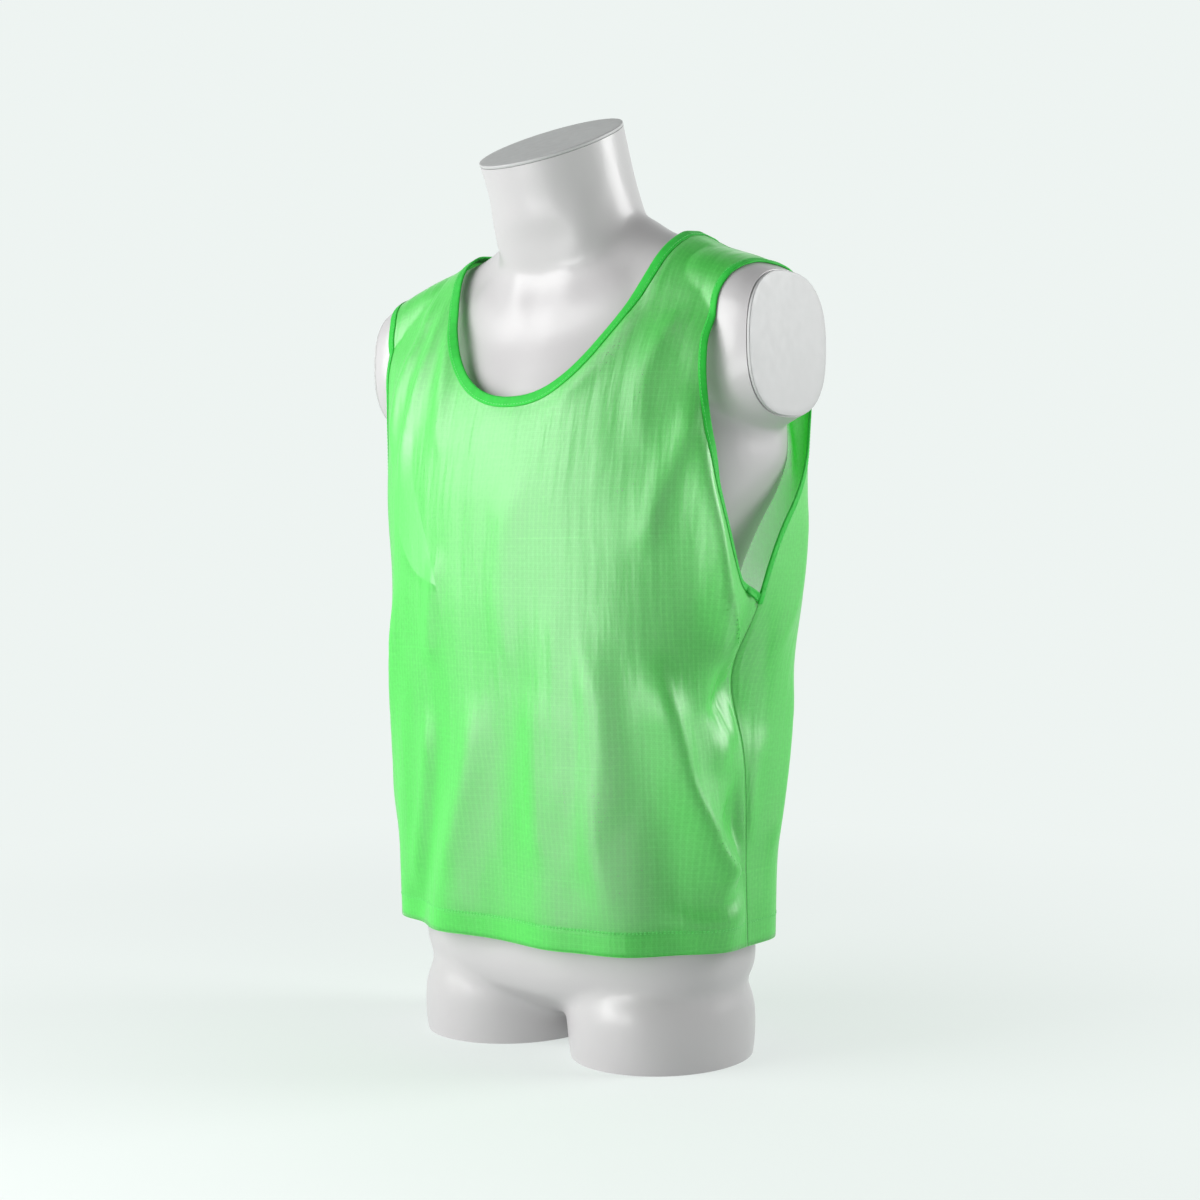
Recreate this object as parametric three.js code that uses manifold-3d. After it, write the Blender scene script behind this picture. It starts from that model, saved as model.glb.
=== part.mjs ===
// Scrimmage vest on a limbless display form.
//
// A sleeveless mesh training vest hangs on a smooth torso form that is cut off at the neck, the
// shoulders and the thighs. Units are millimetres. The form faces -Y, its left side is +X and +Z is up.
// The form stands on its two flat thigh ends. The origin lies between them, under the middle of the box
// round the whole object; the tables below are in the form's own frame, which is shifted along Y.
//
// The cloth is laid out as it is cut. A point on a panel is (across, up): across is measured along the
// cloth from the panel's centre line, and up from the hem. PanelSurface turns it into a point in space.

import * as THREE from "three";
import { mergeVertices } from "three/addons/utils/BufferGeometryUtils.js";
import Module from "manifold-3d";

const wasm = await Module();
wasm.setup();

// ---------------------------------------------------------------- driving dimensions

const SEAM_GAP = 0.3; // clear distance between two pieces that meet
const CLOTH_THICKNESS = 1.2;
const TAPE_THICKNESS = 1; // one layer of the folded binding tape
const TAPE_WIDTH = 9;
const HEM_HEIGHT = 21; // the turned-up hem allowance
const SEAM_TURN = 12; // over this distance the cloth turns square to a side or shoulder seam

const SEAM_AXIS_Y = 8; // side seams and shoulder seams hang in this plane
const UNDERARM_UP = 315; // where the two sides of an armhole meet on the side seam
const NECK_HALF_WIDTH = 114;
const SHOULDER_TIP = 203; // half the distance between the outer ends of the shoulder seams
const SHOULDER_SLOPE = 0.356; // fall of the shoulder seam for each millimetre outwards
const SHOULDER_BEND = 30; // how softly the level neck turns into the sloping shoulder
const SLOPE_STARTS_UP = 495; // below this the cloth's levels are horizontal
const NECK_SLIDE = 10; // how far the cloth round the neck has slid to the form's left
const SLIDE_REACH = 150;
const SLIDE_STARTS_UP = 360;

const PANEL_ROWS = { side: 12, underNeck: 6, shoulder: 15 };
const PANEL_COLUMNS = 10; // of half a panel, between the inner edges of its tapes
const ARC_STEPS = 48; // steps used to measure along one level of the cloth

const ARM_CAP_THICKNESS = 3;
const NECK_CAP_THICKNESS = 3;

const FORM_SEGMENTS = 40;
const BOX_SHIFT = -11.5; // brings the origin under the middle of the whole object's box

// ---------------------------------------------------------------- cloth tables

// Levels of each panel. up: along the cloth from the hem; height: z of that level at the neck point;
// halfWidth and depth: the level's half ellipse; square: 2 is an ellipse, more is boxier.
const FRONT_LEVELS = [
  { up: 0, height: 109, halfWidth: 182, depth: 121, square: 2.5 },
  { up: 90, height: 199, halfWidth: 180, depth: 125, square: 2.6 },
  { up: 190, height: 299, halfWidth: 180, depth: 131, square: 2.6 },
  { up: 255, height: 364, halfWidth: 186, depth: 135, square: 2.5 },
  { up: 315, height: 424, halfWidth: 197.5, depth: 138, square: 2.4 },
  { up: 395, height: 504, halfWidth: 208, depth: 138, square: 2.4 },
  { up: 449, height: 558, halfWidth: 212, depth: 134, square: 2.4 },
  { up: 493, height: 601, halfWidth: 220, depth: 124, square: 2.5 },
  { up: 538, height: 642, halfWidth: 236, depth: 106, square: 2.6 },
  { up: 580, height: 678, halfWidth: 250, depth: 85, square: 2.6 },
  { up: 612, height: 709, halfWidth: 255, depth: 70, square: 2.6 },
  { up: 638, height: 733, halfWidth: 258, depth: 56, square: 2.6 },
  { up: 662, height: 750, halfWidth: 260, depth: 38, square: 2.6 },
  { up: 682, height: 759, halfWidth: 260, depth: 20, square: 2.6 },
  { up: 702, height: 761.5, halfWidth: 260, depth: 0, square: 2.6 },
];
const BACK_LEVELS = [
  { up: 0, height: 109, halfWidth: 182, depth: 113, square: 2.5 },
  { up: 90, height: 199, halfWidth: 180, depth: 118, square: 2.7 },
  { up: 190, height: 299, halfWidth: 180, depth: 136, square: 3 },
  { up: 255, height: 364, halfWidth: 186, depth: 142, square: 3.1 },
  { up: 315, height: 424, halfWidth: 197.5, depth: 144, square: 3.1 },
  { up: 395, height: 504, halfWidth: 208, depth: 141, square: 3 },
  { up: 443, height: 552, halfWidth: 212, depth: 138, square: 2.9 },
  { up: 488, height: 595, halfWidth: 220, depth: 131, square: 2.8 },
  { up: 535, height: 639, halfWidth: 236, depth: 117, square: 2.6 },
  { up: 581, height: 678, halfWidth: 250, depth: 98, square: 2.5 },
  { up: 618, height: 709, halfWidth: 255, depth: 82, square: 2.5 },
  { up: 650, height: 737, halfWidth: 258, depth: 67, square: 2.5 },
  { up: 682, height: 754.5, halfWidth: 260, depth: 38, square: 2.5 },
  { up: 712, height: 761.5, halfWidth: 260, depth: 0, square: 2.5 },
];

// Armhole edges of the flat pieces between the underarm and the end of the shoulder seam.
const FRONT_ARMHOLE = [
  { up: 328, across: 250 },
  { up: 350, across: 238 },
  { up: 379, across: 228 },
  { up: 409, across: 219 },
  { up: 437, across: 211.5 },
  { up: 463, across: 205 },
  { up: 489, across: 199.5 },
  { up: 523, across: 193 },
  { up: 565, across: 187 },
  { up: 605, across: 186 },
  { up: 635, across: 190 },
  { up: 662, across: 197 },
];
const BACK_ARMHOLE = [
  { up: 332, across: 289 },
  { up: 349, across: 285 },
  { up: 373, across: 275 },
  { up: 400, across: 256 },
  { up: 428, across: 234 },
  { up: 455, across: 218 },
  { up: 490, across: 208 },
  { up: 540, across: 202 },
  { up: 600, across: 199 },
  { up: 660, across: 201 },
];

// Folds of each panel. across: where the fold crosses the hem; lean: how far it moves outwards for each
// millimetre up; from and to: the heights it runs between; width: half its width; rise: its height.
const FRONT_FOLDS = [
  { across: -170, lean: 0.02, from: -60, to: 420, width: 46, rise: 12 },
  { across: -132, lean: 0.2, from: -60, to: 310, width: 26, rise: -7 },
  { across: -84, lean: 0.33, from: -60, to: 330, width: 28, rise: 6 },
  { across: -18, lean: 0.1, from: -60, to: 340, width: 34, rise: -4 },
  { across: 52, lean: 0, from: -60, to: 340, width: 28, rise: 5 },
  { across: 116, lean: -0.05, from: -60, to: 390, width: 30, rise: 6 },
  { across: 176, lean: -0.14, from: -60, to: 300, width: 28, rise: -6 },
  { across: 242, lean: -0.34, from: -40, to: 350, width: 34, rise: 8 },
  { across: 311, lean: -0.25, from: 200, to: 560, width: 30, rise: 7 },
  { across: -311, lean: 0.25, from: 210, to: 540, width: 32, rise: 6 },
];
const BACK_FOLDS = [
  { across: 186, lean: 0.02, from: -60, to: 400, width: 42, rise: 6 },
  { across: 122, lean: -0.1, from: -60, to: 350, width: 32, rise: -7 },
  { across: 64, lean: 0.06, from: -60, to: 420, width: 34, rise: 7 },
  { across: 4, lean: 0.05, from: -60, to: 330, width: 32, rise: -6 },
  { across: -52, lean: -0.12, from: -60, to: 440, width: 34, rise: 7 },
  { across: -120, lean: 0.04, from: -60, to: 340, width: 34, rise: -8 },
  { across: -182, lean: -0.03, from: -60, to: 420, width: 44, rise: 10 },
];

const PANELS = {
  front: {
    side: -1,
    levels: FRONT_LEVELS,
    armhole: FRONT_ARMHOLE,
    folds: FRONT_FOLDS,
    neckDrop: 209,
    neckSquare: 2.25,
  },
  back: {
    side: 1,
    levels: BACK_LEVELS,
    armhole: BACK_ARMHOLE,
    folds: BACK_FOLDS,
    neckDrop: 62,
    neckSquare: 2.3,
  },
};

// ---------------------------------------------------------------- form tables

// Horizontal sections of the trunk. front and back are depths from the y = 0 plane; the squares say
// how boxy each half is, as on the panels.
const TRUNK = [
  { height: 30, halfWidth: 50, front: 34, back: 44, frontSquare: 2, backSquare: 2 },
  { height: 44, halfWidth: 108, front: 62, back: 76, frontSquare: 2, backSquare: 2.1 },
  { height: 62, halfWidth: 160, front: 87, back: 100, frontSquare: 2.2, backSquare: 2.4 },
  { height: 88, halfWidth: 172, front: 97, back: 109, frontSquare: 2.3, backSquare: 2.6 },
  { height: 128, halfWidth: 172, front: 99, back: 107, frontSquare: 2.3, backSquare: 2.5 },
  { height: 193, halfWidth: 160, front: 95, back: 97, frontSquare: 2.3, backSquare: 2.4 },
  { height: 263, halfWidth: 144, front: 90, back: 84, frontSquare: 2.3, backSquare: 2.3 },
  { height: 338, halfWidth: 142, front: 95, back: 88, frontSquare: 2.3, backSquare: 2.3 },
  { height: 400, halfWidth: 149, front: 104, back: 99, frontSquare: 2.3, backSquare: 2.3 },
  { height: 445, halfWidth: 157, front: 111, back: 110, frontSquare: 2.3, backSquare: 2.4 },
  { height: 488, halfWidth: 172, front: 116, back: 122, frontSquare: 2.2, backSquare: 2.6 },
  { height: 520, halfWidth: 187, front: 117, back: 129, frontSquare: 2.1, backSquare: 2.8 },
  { height: 553, halfWidth: 197, front: 115, back: 131, frontSquare: 2, backSquare: 2.9 },
  { height: 590, halfWidth: 198, front: 107, back: 126, frontSquare: 2, backSquare: 2.8 },
  { height: 628, halfWidth: 190, front: 92, back: 113, frontSquare: 2.1, backSquare: 2.6 },
  { height: 668, halfWidth: 172, front: 75, back: 93, frontSquare: 2.2, backSquare: 2.5 },
  { height: 700, halfWidth: 146, front: 66, back: 74, frontSquare: 2.2, backSquare: 2.4 },
  { height: 726, halfWidth: 112, front: 62, back: 60, frontSquare: 2.1, backSquare: 2.2 },
  { height: 746, halfWidth: 84, front: 58, back: 52, frontSquare: 2, backSquare: 2 },
];

// Upright sections of the shoulder yoke from the middle out to the arm's cut end.
const YOKE = [
  { out: 0, y: 2, height: 668, halfDepth: 60, halfHeight: 115 },
  { out: 70, y: 4, height: 668, halfDepth: 61, halfHeight: 107 },
  { out: 95, y: 7, height: 667, halfDepth: 62, halfHeight: 92.6 },
  { out: 120, y: 8, height: 664, halfDepth: 63, halfHeight: 85 },
  { out: 150, y: 8, height: 656, halfDepth: 62, halfHeight: 83.5 },
  { out: 185, y: 9, height: 648, halfDepth: 64, halfHeight: 79.7 },
  { out: 205, y: 9, height: 646, halfDepth: 66, halfHeight: 73 },
  { out: 217, y: 9, height: 646, halfDepth: 65, halfHeight: 67 },
  { out: 222, y: 9, height: 646, halfDepth: 63, halfHeight: 64 },
];

// Sections of the neck, which leans forwards. tilt: degrees by which the section falls to the front.
const NECK = [
  { height: 717, y: -2, halfWidth: 88, halfDepth: 60, tilt: 0 },
  { height: 745, y: -7, halfWidth: 79, halfDepth: 69, tilt: 2 },
  { height: 773, y: -18, halfWidth: 71, halfDepth: 72, tilt: 8 },
  { height: 804, y: -31, halfWidth: 68, halfDepth: 70, tilt: 17 },
  { height: 841, y: -47, halfWidth: 69, halfDepth: 71, tilt: 26 },
];

// Sections of one thigh, from its cut end up into the trunk.
const THIGH = [
  { height: 0, out: 89, y: 6, halfWidth: 80, halfDepth: 90 },
  { height: 4, out: 89, y: 6, halfWidth: 82, halfDepth: 92 },
  { height: 40, out: 88, y: 6, halfWidth: 83, halfDepth: 95 },
  { height: 66, out: 86, y: 6, halfWidth: 77, halfDepth: 88 },
  { height: 96, out: 82, y: 6, halfWidth: 64, halfDepth: 72 },
  { height: 130, out: 78, y: 6, halfWidth: 46, halfDepth: 54 },
];

// ---------------------------------------------------------------- numbers

const degrees = THREE.MathUtils.degToRad;
const smoothstep = THREE.MathUtils.smoothstep;
const lerp = THREE.MathUtils.lerp;

// The value of one column of a table at any place between its rows, by a monotone cubic.
function read(rows, by, column, at) {
  const last = rows.length - 1;
  let i = 0;
  while (i < last - 1 && at > rows[i + 1][by]) i++;
  const slope = (k) => (rows[k + 1][column] - rows[k][column]) / (rows[k + 1][by] - rows[k][by]);
  const tangent = (k) => {
    if (k === 0) return slope(0);
    if (k === last) return slope(last - 1);
    const [below, above] = [slope(k - 1), slope(k)];
    return below * above <= 0 ? 0 : (2 * below * above) / (below + above);
  };
  const span = rows[i + 1][by] - rows[i][by];
  const t = THREE.MathUtils.clamp((at - rows[i][by]) / span, 0, 1);
  return (
    rows[i][column] * (1 + 2 * t) * (1 - t) ** 2 +
    rows[i + 1][column] * (3 - 2 * t) * t ** 2 +
    tangent(i) * span * t * (1 - t) ** 2 -
    tangent(i + 1) * span * t ** 2 * (1 - t)
  );
}

function spaced(from, to, count) {
  return Array.from({ length: count + 1 }, (_, i) => lerp(from, to, i / count));
}

// A point of a squared ellipse's quarter, from its depth end (turn 0) to its width end (turn 1).
function quarter(halfWidth, depth, square, turn) {
  const angle = (turn * Math.PI) / 2;
  const power = 2 / square;
  return {
    across: halfWidth * Math.sin(angle) ** power,
    depth: depth * Math.max(Math.cos(angle), 0) ** power,
  };
}

// ---------------------------------------------------------------- solids

function toManifold(geometry) {
  const bare = new THREE.BufferGeometry();
  bare.setAttribute("position", geometry.getAttribute("position"));
  bare.setIndex(geometry.getIndex());
  const merged = mergeVertices(bare, 1e-4);
  return new wasm.Manifold(
    new wasm.Mesh({
      numProp: 3,
      vertProperties: new Float32Array(merged.attributes.position.array),
      triVerts: new Uint32Array(merged.index.array),
    }),
  );
}

function toGeometry(manifold) {
  const mesh = manifold.getMesh();
  const positions = [];
  for (let i = 0; i < mesh.numVert; i++) {
    positions.push(...mesh.vertProperties.subarray(i * mesh.numProp, i * mesh.numProp + 3));
  }
  return geometryOf(positions, [...mesh.triVerts]);
}

function geometryOf(positions, triangles) {
  const geometry = new THREE.BufferGeometry();
  geometry.setAttribute("position", new THREE.Float32BufferAttribute(positions, 3));
  geometry.setIndex(triangles);
  return geometry;
}

// A closed solid through rings of points, each ring counter-clockwise seen from the last ring's side.
function loft(rings) {
  const count = rings[0].length;
  const points = rings.flat();
  const triangles = [];
  for (let r = 0; r + 1 < rings.length; r++) {
    for (let i = 0; i < count; i++) {
      const [a, b] = [r * count + i, r * count + ((i + 1) % count)];
      triangles.push(a, b, b + count, a, b + count, a + count);
    }
  }
  for (const [ring, first, flip] of [
    [rings[0], 0, true],
    [rings.at(-1), (rings.length - 1) * count, false],
  ]) {
    const middle = ring.reduce((sum, p) => sum.add(p), new THREE.Vector3()).divideScalar(count);
    const centre = points.push(middle) - 1;
    for (let i = 0; i < count; i++) {
      const [a, b] = [first + i, first + ((i + 1) % count)];
      triangles.push(...(flip ? [centre, b, a] : [centre, a, b]));
    }
  }
  return geometryOf(points.flatMap((p) => p.toArray()), triangles);
}

// A wall of even thickness on a sheet of triangles, closed round the sheet's open edges.
function wall(points, normals, triangles, thickness) {
  const moved = (by) => points.map((p, i) => p.clone().addScaledVector(normals[i], by));
  const all = [...moved(thickness / 2), ...moved(-thickness / 2)];
  const inner = points.length;
  const faces = [];
  const edges = new Map();
  for (let i = 0; i < triangles.length; i += 3) {
    const [a, b, c] = triangles.slice(i, i + 3);
    faces.push(a, b, c, a + inner, c + inner, b + inner);
    for (const [p, q] of [[a, b], [b, c], [c, a]]) {
      if (!edges.delete(`${q},${p}`)) edges.set(`${p},${q}`, [p, q]);
    }
  }
  for (const [p, q] of edges.values()) faces.push(q, p, p + inner, q, p + inner, q + inner);
  return geometryOf(all.flatMap((p) => p.toArray()), faces);
}

// The two triangles of a four-sided cell, split along its shorter diagonal.
function quad(points, [a, b, c, d]) {
  const across = points[a].distanceToSquared(points[c]) <= points[b].distanceToSquared(points[d]);
  return across ? [[a, b, c], [a, c, d]] : [[a, b, d], [b, c, d]];
}

// A closed solid of one cross-section carried along a path. Each stop is a list of the section's points.
function sweep(stops, closed) {
  const count = stops[0].length;
  const points = stops.flat();
  const triangles = [];
  const last = closed ? stops.length : stops.length - 1;
  for (let s = 0; s < last; s++) {
    const next = (s + 1) % stops.length;
    for (let i = 0; i < count; i++) {
      const j = (i + 1) % count;
      const four = [s * count + i, s * count + j, next * count + j, next * count + i];
      triangles.push(...quad(points, four).flat());
    }
  }
  return geometryOf(points.flatMap((p) => p.toArray()), triangles);
}

function facingOut(geometry) {
  if (toManifold(geometry).volume() > 0) return geometry;
  const index = [...geometry.getIndex().array];
  for (let i = 0; i < index.length; i += 3) [index[i + 1], index[i + 2]] = [index[i + 2], index[i + 1]];
  geometry.setIndex(index);
  return geometry;
}

// ---------------------------------------------------------------- cloth

class PanelSurface {
  constructor({ side, levels, armhole, folds, neckDrop, neckSquare }) {
    Object.assign(this, { side, levels, folds, neckDrop, neckSquare });
    this.top = levels.at(-1).up;
    this.measured = new Map();
    this.armhole = [
      { up: UNDERARM_UP, across: this.halfLength(UNDERARM_UP) },
      ...armhole,
      { up: this.top, across: SHOULDER_TIP },
    ];
  }

  // Lengths along half a level, from the centre line to the side seam.
  lengths(up) {
    if (!this.measured.has(up)) {
      const [halfWidth, depth, square] = ["halfWidth", "depth", "square"].map((name) =>
        read(this.levels, "up", name, up),
      );
      const steps = spaced(0, 1, ARC_STEPS).map((turn) => quarter(halfWidth, depth, square, turn));
      let run = 0;
      const at = steps.map((p, i) => {
        if (i) run += Math.hypot(p.across - steps[i - 1].across, p.depth - steps[i - 1].depth);
        return run;
      });
      this.measured.set(up, { steps, at, half: run });
    }
    return this.measured.get(up);
  }

  halfLength(up) {
    return this.lengths(up).half;
  }

  // Distance along the cloth from the nearest side or shoulder seam.
  fromSeam(across, up) {
    return Math.min(this.halfLength(up) - Math.abs(across), this.top - up) - SEAM_GAP / 2;
  }

  foldRise(across, up) {
    const height = (fold) => {
      const ends = smoothstep(up, fold.from, fold.from + 50) * (1 - smoothstep(up, fold.to - 220, fold.to));
      const off = (across - fold.across - fold.lean * up) / fold.width;
      return fold.rise * ends * Math.exp(-off * off);
    };
    const rise = this.folds.reduce((sum, fold) => sum + height(fold), 0);
    return rise * smoothstep(this.fromSeam(across, up), 0, 4 * SEAM_TURN);
  }

  // The cloth without its folds.
  smoothPoint(across, up) {
    const { steps, at, half } = this.lengths(up);
    const high = smoothstep(up, SLIDE_STARTS_UP, SLOPE_STARTS_UP);
    const along = across + NECK_SLIDE * high * Math.exp(-((across / SLIDE_REACH) ** 2));
    const reach = Math.min(Math.abs(along), half);
    let i = 1;
    while (i < ARC_STEPS && at[i] < reach) i++;
    const share = (reach - at[i - 1]) / (at[i] - at[i - 1]);
    const x = lerp(steps[i - 1].across, steps[i].across, share);
    const depth = lerp(steps[i - 1].depth, steps[i].depth, share);
    const past = x - NECK_HALF_WIDTH;
    const fall = (SHOULDER_SLOPE * (Math.hypot(past, SHOULDER_BEND) + past)) / 2;
    return new THREE.Vector3(
      Math.sign(along) * x,
      SEAM_AXIS_Y + this.side * depth,
      read(this.levels, "up", "height", up) - fall * smoothstep(up, SLOPE_STARTS_UP, this.top),
    );
  }

  normal(across, up) {
    const step = 2;
    const reach = this.halfLength(up) - step;
    const x = THREE.MathUtils.clamp(across, -reach, reach);
    const y = THREE.MathUtils.clamp(up, step, this.top - step);
    const along = this.smoothPoint(x + step, y).sub(this.smoothPoint(x - step, y));
    const rising = this.smoothPoint(x, y + step).sub(this.smoothPoint(x, y - step));
    const normal = along.cross(rising).multiplyScalar(-this.side).normalize();
    normal.y *= smoothstep(this.fromSeam(across, up), 0, SEAM_TURN);
    return normal.normalize();
  }

  point(across, up, out = 0) {
    const rise = this.foldRise(across, up) + out;
    return this.smoothPoint(across, up).addScaledVector(this.normal(across, up), rise);
  }

  armholeEdge(up) {
    return read(this.armhole, "up", "across", up);
  }

  // The neckline: a squared quarter ellipse from the centre line (turn 0) to the shoulder seam (turn 1).
  neckEdge(turn) {
    const { across, depth } = quarter(NECK_HALF_WIDTH, this.neckDrop, this.neckSquare, turn);
    return new THREE.Vector2(across, this.top - depth);
  }
}

// The outline of half a panel as two matching runs of points, from the hem to the shoulder seam: the
// outer one is the side seam and armhole, the inner one the centre line and neckline. Each has its edge
// and the line that the tape's inner edge follows.
function halfOutline(surface) {
  const { side, underNeck, shoulder } = PANEL_ROWS;
  const armholeRows = underNeck + shoulder;
  const top = surface.top - SEAM_GAP / 2;
  const armhole = spaced(UNDERARM_UP, top, armholeRows).map(
    (up) => new THREE.Vector2(surface.armholeEdge(up), up),
  );
  const neck = spaced(0, 1, shoulder).map((turn) => surface.neckEdge(turn ** 0.9));
  neck.at(-1).y = top;
  const armholeInside = offset(armhole, 1);
  const neckInside = offset(neck, -1);
  for (const run of [armholeInside, neckInside]) run.at(-1).y = top;
  const seamTop = TAPE_WIDTH * 1.25;
  armholeInside[0].set(surface.halfLength(UNDERARM_UP - seamTop), UNDERARM_UP - seamTop);
  neckInside[0].set(0, neck[0].y - TAPE_WIDTH);

  const seamUps = [0, ...spaced(HEM_HEIGHT, armholeInside[0].y, side - 1)];
  const seam = seamUps.map((up) => new THREE.Vector2(surface.halfLength(up) - SEAM_GAP / 2, up));
  const seamInside = seam.map((p) => new THREE.Vector2(p.x - TAPE_WIDTH, p.y));
  const centreUps = [...seamUps, ...spaced(UNDERARM_UP, neckInside[0].y, underNeck - 1)];
  const centre = centreUps.map((up) => new THREE.Vector2(0, up));
  const centreInside = centre.map((p) => new THREE.Vector2(TAPE_WIDTH, p.y));
  for (const run of [armhole, armholeInside]) run[0].x -= SEAM_GAP / 2;
  seamInside.at(-1).copy(armholeInside[0]);
  centreInside.at(-1).copy(neckInside[0]);
  return {
    outer: [...seam, ...armhole],
    outerTape: [...seamInside, ...armholeInside],
    inner: [...centre, ...neck],
    innerTape: [...centreInside, ...neckInside],
  };
}

// The same run of points moved sideways by the tape's width: to its left (1) or to its right (-1).
function offset(run, hand) {
  return run.map((p, i) => {
    const before = run[Math.max(i - 1, 0)];
    const after = run[Math.min(i + 1, run.length - 1)];
    const along = after.clone().sub(before).normalize();
    return new THREE.Vector2(p.x - hand * along.y * TAPE_WIDTH, p.y + hand * along.x * TAPE_WIDTH);
  });
}

// Half a panel's rows of flat points, each from the outer edge to the inner one.
function halfRows(surface) {
  const outline = halfOutline(surface);
  return outline.outer.map((outer, r) => [
    outer,
    ...spaced(0, 1, PANEL_COLUMNS).map((share) =>
      outline.outerTape[r].clone().lerp(outline.innerTape[r], share),
    ),
    outline.inner[r],
  ]);
}

// A run of rows of a whole panel as a sheet of triangles in space, moved out by some distance.
function panelSheet(surface, rows, out = 0) {
  const points = [];
  const normals = [];
  const triangles = [];
  const seen = new Map();
  const vertex = (p, hand) => {
    const across = hand * p.x;
    const key = `${across.toFixed(3)},${p.y.toFixed(3)}`.replace("-0.000", "0.000");
    if (!seen.has(key)) {
      seen.set(key, points.push(surface.point(across, p.y, out)) - 1);
      normals.push(surface.normal(across, p.y));
    }
    return seen.get(key);
  };
  for (const hand of [1, -1]) {
    for (let r = 0; r + 1 < rows.length; r++) {
      for (let c = 0; c + 1 < rows[r].length; c++) {
        const corners = [rows[r][c], rows[r][c + 1], rows[r + 1][c + 1], rows[r + 1][c]];
        const four = corners.map((p) => vertex(p, hand));
        for (const face of quad(points, four)) {
          if (new Set(face).size === 3) triangles.push(...(hand > 0 ? face : face.reverse()));
        }
      }
    }
  }
  return { points, normals, triangles };
}

function panelWall(surface, rows, out = 0) {
  const { points, normals, triangles } = panelSheet(surface, rows, out);
  return facingOut(wall(points, normals, triangles, CLOTH_THICKNESS));
}

// One stop of a folded tape that holds the cloth's edge between its two layers.
function tapeStop(surface, edge, inside) {
  const [edgeNormal, insideNormal] = [edge, inside].map((p) => surface.normal(p.x, p.y));
  const [edgePoint, insidePoint] = [edge, inside].map((p) => surface.point(p.x, p.y));
  const off = edgePoint.clone().sub(insidePoint).normalize();
  const near = CLOTH_THICKNESS / 2 + SEAM_GAP;
  const far = near + TAPE_THICKNESS;
  const at = (point, normal, out, past) => point.clone().addScaledVector(normal, out).addScaledVector(off, past);
  return [
    at(insidePoint, insideNormal, far, 0),
    at(edgePoint, edgeNormal, far, SEAM_GAP + TAPE_THICKNESS),
    at(edgePoint, edgeNormal, -far, SEAM_GAP + TAPE_THICKNESS),
    at(insidePoint, insideNormal, -far, 0),
    at(insidePoint, insideNormal, -near, 0),
    at(edgePoint, edgeNormal, -near, SEAM_GAP),
    at(edgePoint, edgeNormal, near, SEAM_GAP),
    at(insidePoint, insideNormal, near, 0),
  ];
}

const mirrored = (p) => new THREE.Vector2(-p.x, p.y);

// The neck tape runs down the front's neckline, up its other side and round the back's.
function neckTape(front, back) {
  const half = (surface) => {
    const { inner, innerTape } = halfOutline(surface);
    return inner.map((edge, r) => ({ edge, inside: innerTape[r] })).slice(-PANEL_ROWS.shoulder - 1);
  };
  const whole = (surface) => {
    const rows = half(surface);
    const left = rows.map(({ edge, inside }) => tapeStop(surface, edge, inside)).reverse();
    const right = rows.map(({ edge, inside }) => tapeStop(surface, mirrored(edge), mirrored(inside)));
    return [...left, ...right.slice(1)];
  };
  return facingOut(sweep([...whole(front), ...whole(back).reverse()], true));
}

// An armhole's tape runs down the front from the shoulder seam to the underarm and up the back.
function armholeTape(front, back, hand) {
  const half = (surface) => {
    const { outer, outerTape } = halfOutline(surface);
    const rows = outer.map((edge, r) => [edge, outerTape[r]]).slice(PANEL_ROWS.side + 1);
    return rows.map((pair) => {
      const [edge, inside] = hand > 0 ? pair : pair.map(mirrored);
      return tapeStop(surface, edge, inside);
    });
  };
  return facingOut(sweep([...half(front).reverse(), ...half(back)], true));
}

// ---------------------------------------------------------------- form

// A ring of points on a squared ellipse whose front half and back half differ.
function trunkRing({ height, halfWidth, front, back, frontSquare, backSquare }) {
  return ellipse(FORM_SEGMENTS, (c, s) => {
    const [depth, square] = s < 0 ? [front, frontSquare] : [back, backSquare];
    const power = 2 / square;
    return new THREE.Vector3(
      halfWidth * Math.sign(c) * Math.abs(c) ** power,
      depth * Math.sign(s) * Math.abs(s) ** power,
      height,
    );
  });
}

function ellipse(segments, place) {
  return spaced(0, 2 * Math.PI, segments).slice(0, -1).map((angle) => place(Math.cos(angle), Math.sin(angle)));
}

function yokeRing({ out, y, height, halfDepth, halfHeight }, hand) {
  return ellipse(28, (c, s) => new THREE.Vector3(hand * out, y + halfDepth * c, height + halfHeight * s));
}

function neckRing({ height, y, halfWidth, halfDepth, tilt }, rise = 0) {
  const [c0, s0] = [Math.cos(degrees(tilt)), Math.sin(degrees(tilt))];
  return ellipse(32, (c, s) => new THREE.Vector3(
    halfWidth * c,
    y + halfDepth * s * c0 - rise * s0,
    height + halfDepth * s * s0 + rise * c0,
  ));
}

function thighRing({ height, out, y, halfWidth, halfDepth }, hand) {
  return ellipse(28, (c, s) => new THREE.Vector3(hand * out + halfWidth * c, y + halfDepth * s, height));
}

function formBody() {
  const yoke = [...YOKE.slice(1).reverse().map((row) => yokeRing(row, -1)), ...YOKE.map((row) => yokeRing(row, 1))];
  const lofts = [
    loft(TRUNK.map(trunkRing)),
    loft(yoke),
    loft(NECK.map((row) => neckRing(row))),
    ...[-1, 1].map((hand) => loft(THIGH.map((row) => thighRing(row, hand)))),
  ];
  return toGeometry(lofts.map(facingOut).map(toManifold).reduce((whole, part) => whole.add(part)));
}

// A flat oval plate on the arm's cut end.
function armCap(hand) {
  const end = YOKE.at(-1);
  const from = end.out + SEAM_GAP;
  const plate = [from, from + ARM_CAP_THICKNESS].map((out) => yokeRing({ ...end, out }, hand));
  return facingOut(loft(plate));
}

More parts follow.
